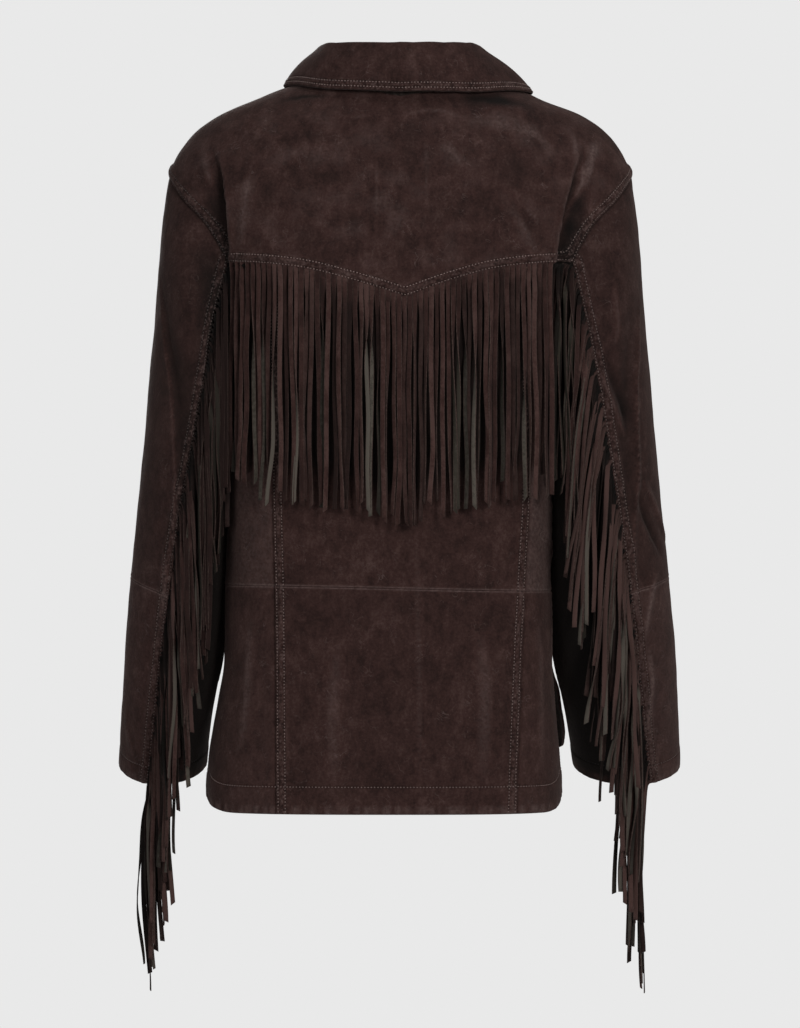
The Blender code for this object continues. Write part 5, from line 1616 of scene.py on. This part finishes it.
class Fringe:
    """Cut strips, joined into one mesh."""

    def __init__(self):
        self.vertices, self.faces, self.slots = [], [], []
        self.tones, self.shades = [], []

    def strip(self, path, twist, width, tone, shade, slant):
        """A strip along a path, turned about it by an angle (0 faces +Y) at each step."""
        path = np.array(path)
        down = unit(np.gradient(path, axis=0))
        first = len(self.vertices)
        sides = len(SECTION)
        slants = [0.0] * (len(path) - 1) + [slant]
        for point, fall, turn, wide, cut in zip(path, down, twist, width, slants):
            flat = np.array((-1.0, 0.0, 0.0)) * math.cos(turn) + np.array(
                (0.0, 1.0, 0.0)) * math.sin(turn)
            flat = flat - fall * np.dot(flat, fall)
            flat /= np.linalg.norm(flat)
            out = np.cross(fall, flat)
            for across, through, _ in SECTION:
                self.vertices.append(point + flat * across * wide / 2 + fall * across * cut
                                     + out * through * STRIP_SUEDE / 2)
        for i in range(len(path) - 1):
            for k in range(sides):
                a, b = first + i * sides + k, first + i * sides + (k + 1) % sides
                self.faces.append((a, b, b + sides, a + sides))
                self.slots.append(SECTION[k][2])
        last = first + (len(path) - 1) * sides
        self.faces.append(tuple(first + k for k in reversed(range(sides))))
        self.faces.append(tuple(last + k for k in range(sides)))
        self.slots += [2, 2]
        self.tones += [tone] * (len(path) * sides)
        # painted shade along the strip
        self.shades += np.repeat(np.clip(shade, 0, 1), sides).tolist()

    def finish(self, name, node):
        made = add_mesh(name, np.array(self.vertices), self.faces, STRIP_SIDES,
                        self.slots, {"tone": self.tones, "shade": self.shades})
        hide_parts(node)


STILL_WIDER = 0.99         # the body is below a strip while it is as wide as this share of it


def hanging_reach(across, heights):
    """How far behind the middle a strip hangs at these heights: off the fullest level above."""
    reach, found = 0.0, []
    for height in heights:
        body = torso_point(angle_at(across, height), height)
        if abs(body[0]) >= abs(across) * STILL_WIDER:
            reach = max(reach, body[1] + BACK_FRINGE_CLEARANCE)
        found.append(reach)
    return np.array(found)


def bunches(rng, count):
    """Strips hang in small bunches: for each strip, how far from its bunch's middle it is."""
    offsets = []
    while len(offsets) < count:
        size = int(rng.integers(*BUNCH_SIZES))
        offsets += [k - (size - 1) / 2 for k in range(size)]
    return offsets[:count]


def twist_of(rng):
    """The angle, in degrees, by which a strip has turned at its free end."""
    kind = rng.random()
    sign = rng.choice((-1, 1))
    if kind < FLAT_SHARE:
        return rng.normal(0, FLAT_TURN)
    least, most = next(turns for share, *turns in TURNED if kind < share)
    return sign * rng.uniform(least, most)


def sway(rng, share, waves):
    """A wave along a strip, with a random length and start."""
    return np.sin(share * rng.uniform(*waves) + rng.uniform(*PHASES))


# the fringe's length across the back: distance from the middle | length
BACK_LENGTHS = Table(("across", "length"), [
    (-0.150, 0.228), (-0.100, 0.229), (-0.050, 0.226), (-0.005, 0.223), (0.050, 0.225),
    (0.100, 0.231), (0.134, 0.230), (0.140, 0.217), (0.170, 0.213)])
BACK_SEED = 5
BACK_ROOT = 0.001          # the strips start this far above the seam
BACK_LENGTH_SPREAD = 0.0022
# this share of the first strips, and of the rest, is shorter, and by how much
FIRST_SHORT, SHORT_SHARES, BACK_SHORTER = 12, (0.30, 0.14), (0.005, 0.020)
SLIT, LONG_SLIT, LONG_SLIT_SPREAD = (0.0, 0.006), 0.008, 0.5
SLIT_OPENS = 0.07          # the share of its length in which a strip comes free below its slit
BACK_SETTLES = (0.02, 0.85)              # where along it a strip goes its own way
BUNCH_PULL = (0.06, 0.34)
BACK_CURL, BACK_CURL_REACH = 0.0018, (0.72, 1.0)         # at the free ends
BACK_STRAY, BACK_SWAY, BACK_WAVES = 0.0010, (0.0002, 0.0009), (6, 15)    # to the sides
EDGE_SWAY_REACH = (0.1, 0.5)
DEPTH_POWER, BACK_LIFT, BACK_LAYERS = 0.8, 0.0002, 0.0056
BACK_OUT, BACK_OUT_WAVES = 0.0009, (5, 11)
FULL_TURN, TURN_SETTLES, FULL_TURN_SETTLES = 150, (0.25, 0.95), (0.25, 1.00)
BACK_FLUTTER, BACK_FLUTTER_WAVES = 15, (6, 12)           # in degrees
SLIT_WIDTH, BACK_WIDTHS, BACK_NARROWING = 0.98, (0.84, 1.04), 0.05
DEEP_REACH, BACK_TONE, BACK_SLANT = (0.35, 1.0), (0.03, 0.08), 0.0030


def make_back_fringe():
    rng = np.random.default_rng(BACK_SEED)
    fringe = Fringe()
    left, right = BACK_FRINGE_ENDS
    pitch = (left - right) / BACK_STRIPS
    share = np.linspace(0, 1, STRIP_STEPS + 1)
    together = bunches(rng, BACK_STRIPS)
    pull = 0.0
    for n in range(BACK_STRIPS):
        across = left - (n + 0.5) * pitch
        from_end = min(n, BACK_STRIPS - 1 - n)
        at_end = max(0.0, 1 - from_end / EDGE_STRIPS)
        top = YOKE_SEAM.at("height", across) + BACK_ROOT
        length = BACK_LENGTHS.at("length", across) + BACK_ROOT
        length += rng.normal(0, BACK_LENGTH_SPREAD)
        if rng.random() < SHORT_SHARES[n >= FIRST_SHORT]:
            length -= rng.uniform(*BACK_SHORTER)
        slit = rng.uniform(*SLIT) + LONG_SLIT * max(0.0, rng.normal(0, LONG_SLIT_SPREAD))
        slit += SLIT_LOW * math.exp(-((across - SLIT_LOW_AT) / SLIT_LOW_REACH) ** 2)
        free = smooth(slit / length, slit / length + SLIT_OPENS, share)
        late = smooth(*BACK_SETTLES, share)
        heights = top - length * share
        reach = hanging_reach(across, heights)
        if n == 0 or together[n] <= 0:
            pull = rng.uniform(*BUNCH_PULL)
        curl = rng.normal(0, BACK_CURL) * smooth(*BACK_CURL_REACH, share)
        x = (across + together[n] * pitch * pull * late * (1 - at_end)
             + rng.normal(0, BACK_STRAY) * late * (1 - at_end) + curl
             + rng.uniform(*BACK_SWAY) * sway(rng, share, BACK_WAVES) * free)
        x += math.copysign(BACK_EDGE_SWAY, across) * at_end * smooth(*EDGE_SWAY_REACH, share)
        deep = 1 - rng.random() ** DEPTH_POWER
        y = (reach + STRIP_SUEDE / 2 + (BACK_LIFT + BACK_LAYERS * (1 - deep)) * free
             + BACK_OUT * sway(rng, share, BACK_OUT_WAVES) * late + BACK_OUT * late)
        degrees = twist_of(rng)
        settled = rng.uniform(*(FULL_TURN_SETTLES if abs(degrees) > FULL_TURN else TURN_SETTLES))
        turn = math.radians(degrees) * (1 - at_end)
        flutter = math.radians(rng.normal(0, BACK_FLUTTER)) * (1 - at_end)
        twist = turn * smooth(slit / length, settled, share)
        twist = twist + flutter * np.sin(share * rng.uniform(*BACK_FLUTTER_WAVES)) * free
        width = np.where(share * length < slit, pitch * SLIT_WIDTH,
                         STRIP * rng.uniform(*BACK_WIDTHS) * (1 - BACK_NARROWING * late))
        # painted shade of the strips that hang deep among the others
        shade = BACK_DEEP_SHADE * smooth(*DEEP_REACH, np.array(deep)) * free
        fringe.strip(np.stack((x, y, heights), axis=1), twist, width, rng.normal(*BACK_TONE),
                     shade, rng.uniform(-BACK_SLANT, BACK_SLANT))
    fringe.finish("back_fringe_strips", "back_fringe")


SLEEVE_SEEDS = {"left": 17, "right": 29}
BUNCH_BEND, BUNCH_APART = 0.0020, 0.0009
SLEEVE_LENGTH_SPREAD, SLEEVE_SHORT_SHARE, SLEEVE_SHORTER = 0.004, 0.12, (0.005, 0.030)
# of the strips that lie on top, and of the deep ones: how deep they lie, and their painted shade
SLEEVE_LAYERS, SLEEVE_SHADES = ((0.55, 1.0), (0.0, 0.40)), ((0.0, 0.20), (0.66, 0.94))
TOP_SWING, DEEP_SWING = (0.0003, 0.0018), 0.0008
DRIFT_SPREAD, SLEEVE_SETTLES = 0.20, (0.0, 0.8)
SLEEVE_TOP_CURLS, CURL_RISE = (0.3, 2.2), 0.6            # shares of TOP_CURL, and of a curl
SLEEVE_CURL, SLEEVE_CURL_REACH, KINK_FROM = 0.0022, (0.65, 1.0), (0.25, 0.85)
SLEEVE_WAVES, SLEEVE_OUT_WAVES, SLEEVE_OUT = (4, 12), (5, 12), 0.5
SLEEVE_ROOT, ROOT_LIFT, ROOT_REACH, LAYER_REACH = 0.0002, 0.0004, (0.0, 0.03), (0.0, 0.25)
SLEEVE_TWIST, SLEEVE_TURN_SETTLES = 1.3, (0.15, 0.9)     # turned more than the back's
SLEEVE_FLUTTER, SLEEVE_FLUTTER_WAVES, FLUTTER_REACH = 22, (4, 14), (0.0, 0.10)
SLEEVE_WIDTHS, TONE_SPREAD, SLEEVE_SLANT = (0.80, 1.02), 0.10, 0.0016
END_LIGHT, END_LIGHT_REACH, ROOT_SHADE_REACH = 0.35, (0.75, 1.0), (0.0, 0.10)


def make_sleeve_fringe(side, sign):
    rng = np.random.default_rng(SLEEVE_SEEDS[side])
    fringe = Fringe()
    sleeve = SLEEVES[side]
    start = sleeve.places[1] * SLEEVE_FRINGE_START
    stop = sleeve.places[CUFF_RING]
    share = np.linspace(0, 1, STRIP_STEPS + 1)
    together = bunches(rng, SLEEVE_STRIPS + FIRST_STRIPS)
    gather = bend = 0.0
    for n in range(SLEEVE_STRIPS + FIRST_STRIPS):
        place = max(n - FIRST_STRIPS + 0.5, 0.0) / SLEEVE_STRIPS
        root = sleeve.point(np.array(start + (stop - start) * place), np.array(0.0))
        inset = FIRST_STRIPS_APART * max(0, FIRST_STRIPS - n)
        root[0] -= sign * inset
        if n == 0 or together[n] < together[n - 1]:
            gather = rng.uniform(0.0, 1.0)
            bend = rng.normal(0, BUNCH_BEND)
        length = SLEEVE_FRINGE_LENGTH + rng.normal(0, SLEEVE_LENGTH_SPREAD)
        if rng.random() < SLEEVE_SHORT_SHARE:
            length -= rng.uniform(*SLEEVE_SHORTER)
        fallen = length * share
        deep = rng.random() >= SLEEVE_TOP_LAYER
        layer = rng.uniform(*SLEEVE_LAYERS[deep])
        least, most = (SLEEVE_FRINGE_DRIFT.at(side + which, place)
                       for which in ("_least", "_most"))
        drift = least + (most - least) * np.clip(gather + rng.normal(0, DRIFT_SPREAD), 0, 1)
        settle = SLEEVE_DRIFT_SETTLE.at("share", place)
        moved = (1 - np.exp(-share / settle)) / (1 - math.exp(-1 / settle))
        late = smooth(*SLEEVE_SETTLES, share)
        curl = TOP_CURL * rng.uniform(*SLEEVE_TOP_CURLS)
        swing = DEEP_SWING if deep else rng.uniform(*TOP_SWING)
        aside = swing * sway(rng, share, SLEEVE_WAVES) * late
        inward = (drift * moved + curl * (1 - np.exp(-fallen / curl))
                  + bend * np.sin(math.pi * share) - together[n] * BUNCH_APART * late)
        x = (root[0] - sign * inward + aside
             + rng.normal(0, SLEEVE_CURL) * smooth(*SLEEVE_CURL_REACH, share)
             + rng.normal(0, STRIP_KINK) * np.maximum(share - rng.uniform(*KINK_FROM), 0))
        y = (root[1] + SLEEVE_ROOT + (FRINGE_CLEARANCE + ROOT_LIFT) * smooth(*ROOT_REACH, share)
             + SLEEVE_FRINGE_DEPTH * layer * smooth(*LAYER_REACH, share)
             + SLEEVE_OUT * swing * sway(rng, share, SLEEVE_OUT_WAVES) * late)
        z = root[2] - fallen + CURL_RISE * curl * (1 - np.exp(-fallen / curl))
        if inset:
            y = np.maximum(y, hanging_reach(root[0], z) + STRIP_SUEDE)
        turn = math.radians(twist_of(rng) * SLEEVE_TWIST)
        turn = turn * smooth(0.0, rng.uniform(*SLEEVE_TURN_SETTLES), share)
        flutter = math.radians(rng.normal(0, SLEEVE_FLUTTER))
        twist = turn + flutter * sway(rng, share, SLEEVE_FLUTTER_WAVES) * smooth(
            *FLUTTER_REACH, share)
        width = STRIP * rng.uniform(*SLEEVE_WIDTHS) * np.ones(len(share))
        # painted shade of the deep strips, and more in the arm's shade
        shade = rng.uniform(*SLEEVE_SHADES[deep])
        shade += (1 - shade) * SLEEVE_FRINGE_SHADE.at(side, place)
        # the strips on top take their paleness, with its painted light and shade, from the table
        tone = rng.normal(0.0 if deep else SLEEVE_FRINGE_LIGHT_AND_TONE.at(side, place), TONE_SPREAD)
        # less painted shade at the free ends, more at the tops
        shade = shade * (1 - END_LIGHT * smooth(*END_LIGHT_REACH, share)) + SLEEVE_ROOT_SHADE * (
            1 - smooth(*ROOT_SHADE_REACH, share))
        fringe.strip(np.stack((x, y, z), axis=1), twist, width, tone, shade,
                     rng.uniform(-SLEEVE_SLANT, SLEEVE_SLANT))
    fringe.finish("sleeve_fringe_strips_" + side, "sleeve_fringe_" + side)


# ---- stage --------------------------------------------------------------------------------
PICTURE_HEIGHT = 1.028     # what the view takes in at the jacket's middle
CAMERA_BACK, CAMERA_HEIGHT = 5.0, -0.419
SENSOR = 36.0
FLOOR_HEIGHT = -1.30
FLOOR_RADIUS = 2.8
FLOOR_STEPS, FLOOR_COLOR, FLOOR_ROUGHNESS = 96, (0.80, 0.80, 0.80, 1.0), 0.9
BACKDROP = 0.815           # of the world where the camera sees it
AMBIENT = 0.065            # and as a light
MIDDLE = (0.0, 0.0, -0.35)
# name | place | aimed at | size | watts | color
LIGHTS = (("key", (-1.5, 3.2, 0.7), MIDDLE, 1.1, 64.0, (1.0, 0.985, 0.97)),
          ("fill", (1.7, 3.4, 0.0), MIDDLE, 1.6, 29.5, (0.98, 0.99, 1.0)),
          ("top", (-0.3, 0.6, 1.9), (0.0, 0.0, -0.1), 1.2, 14.0, (1.0, 1.0, 1.0)),
          ("front", (0.6, -3.0, 0.5), MIDDLE, 1.8, 56.0, (1.0, 1.0, 1.0)),
          ("left_side", (3.4, -0.9, 0.3), MIDDLE, 1.4, 9.0, (1.0, 1.0, 1.0)),
          ("right_side", (-3.4, -0.9, 0.3), MIDDLE, 1.4, 9.0, (1.0, 1.0, 1.0)))


def make_camera():
    data = bpy.data.cameras.new("camera")
    data.sensor_width = SENSOR
    data.lens = SENSOR * CAMERA_BACK / PICTURE_HEIGHT
    camera = bpy.data.objects.new("camera", data)
    camera.location = (0.0, CAMERA_BACK, CAMERA_HEIGHT)
    camera.rotation_euler = (math.radians(90), 0.0, math.radians(180))
    bpy.context.scene.collection.objects.link(camera)
    bpy.context.scene.camera = camera


def make_light(name, location, target, size, power, color):
    data = bpy.data.lights.new(name, "AREA")
    data.shape = "DISK"
    data.size = size
    data.energy = power
    data.color = color
    light = bpy.data.objects.new(name, data)
    light.location = location
    aim = np.array(target) - np.array(location)
    light.rotation_euler = Vector(aim).to_track_quat("-Z", "Y").to_euler()
    bpy.context.scene.collection.objects.link(light)


def make_world():
    world = bpy.data.worlds.new("studio")
    world.use_nodes = True
    tree = world.node_tree
    background = tree.nodes["Background"]
    path = tree.nodes.new("ShaderNodeLightPath")
    level = tree.nodes.new("ShaderNodeMapRange")
    level.inputs["To Min"].default_value = AMBIENT
    level.inputs["To Max"].default_value = BACKDROP
    tree.links.new(path.outputs["Is Camera Ray"], level.inputs["Value"])
    tree.links.new(level.outputs["Result"], background.inputs["Strength"])
    background.inputs["Color"].default_value = (1.0, 1.0, 1.0, 1.0)
    bpy.context.scene.world = world
    bpy.context.scene.view_settings.view_transform = "Standard"


def make_floor():
    bpy.ops.mesh.primitive_circle_add(vertices=FLOOR_STEPS, radius=FLOOR_RADIUS, fill_type="NGON",
                                      location=(0.0, 0.0, FLOOR_HEIGHT))
    floor = bpy.context.object
    floor.name = "floor"
    shading = Shading("pale_floor")
    shading.set(Base_Color=FLOOR_COLOR, Roughness=FLOOR_ROUGHNESS)
    floor.data.materials.append(shading.material)


def make_stage():
    make_camera()
    make_world()
    make_floor()
    for light in LIGHTS:
        make_light(*light)


def main():
    make_stage()
    make_yoke()
    make_center_back()
    make_collar()
    make_back_fringe()
    for side, sign in SIDES:
        make_side_back(side, sign)
        make_front(side, sign)
        make_sleeve(side)
        make_sleeve_fringe(side, sign)


main()
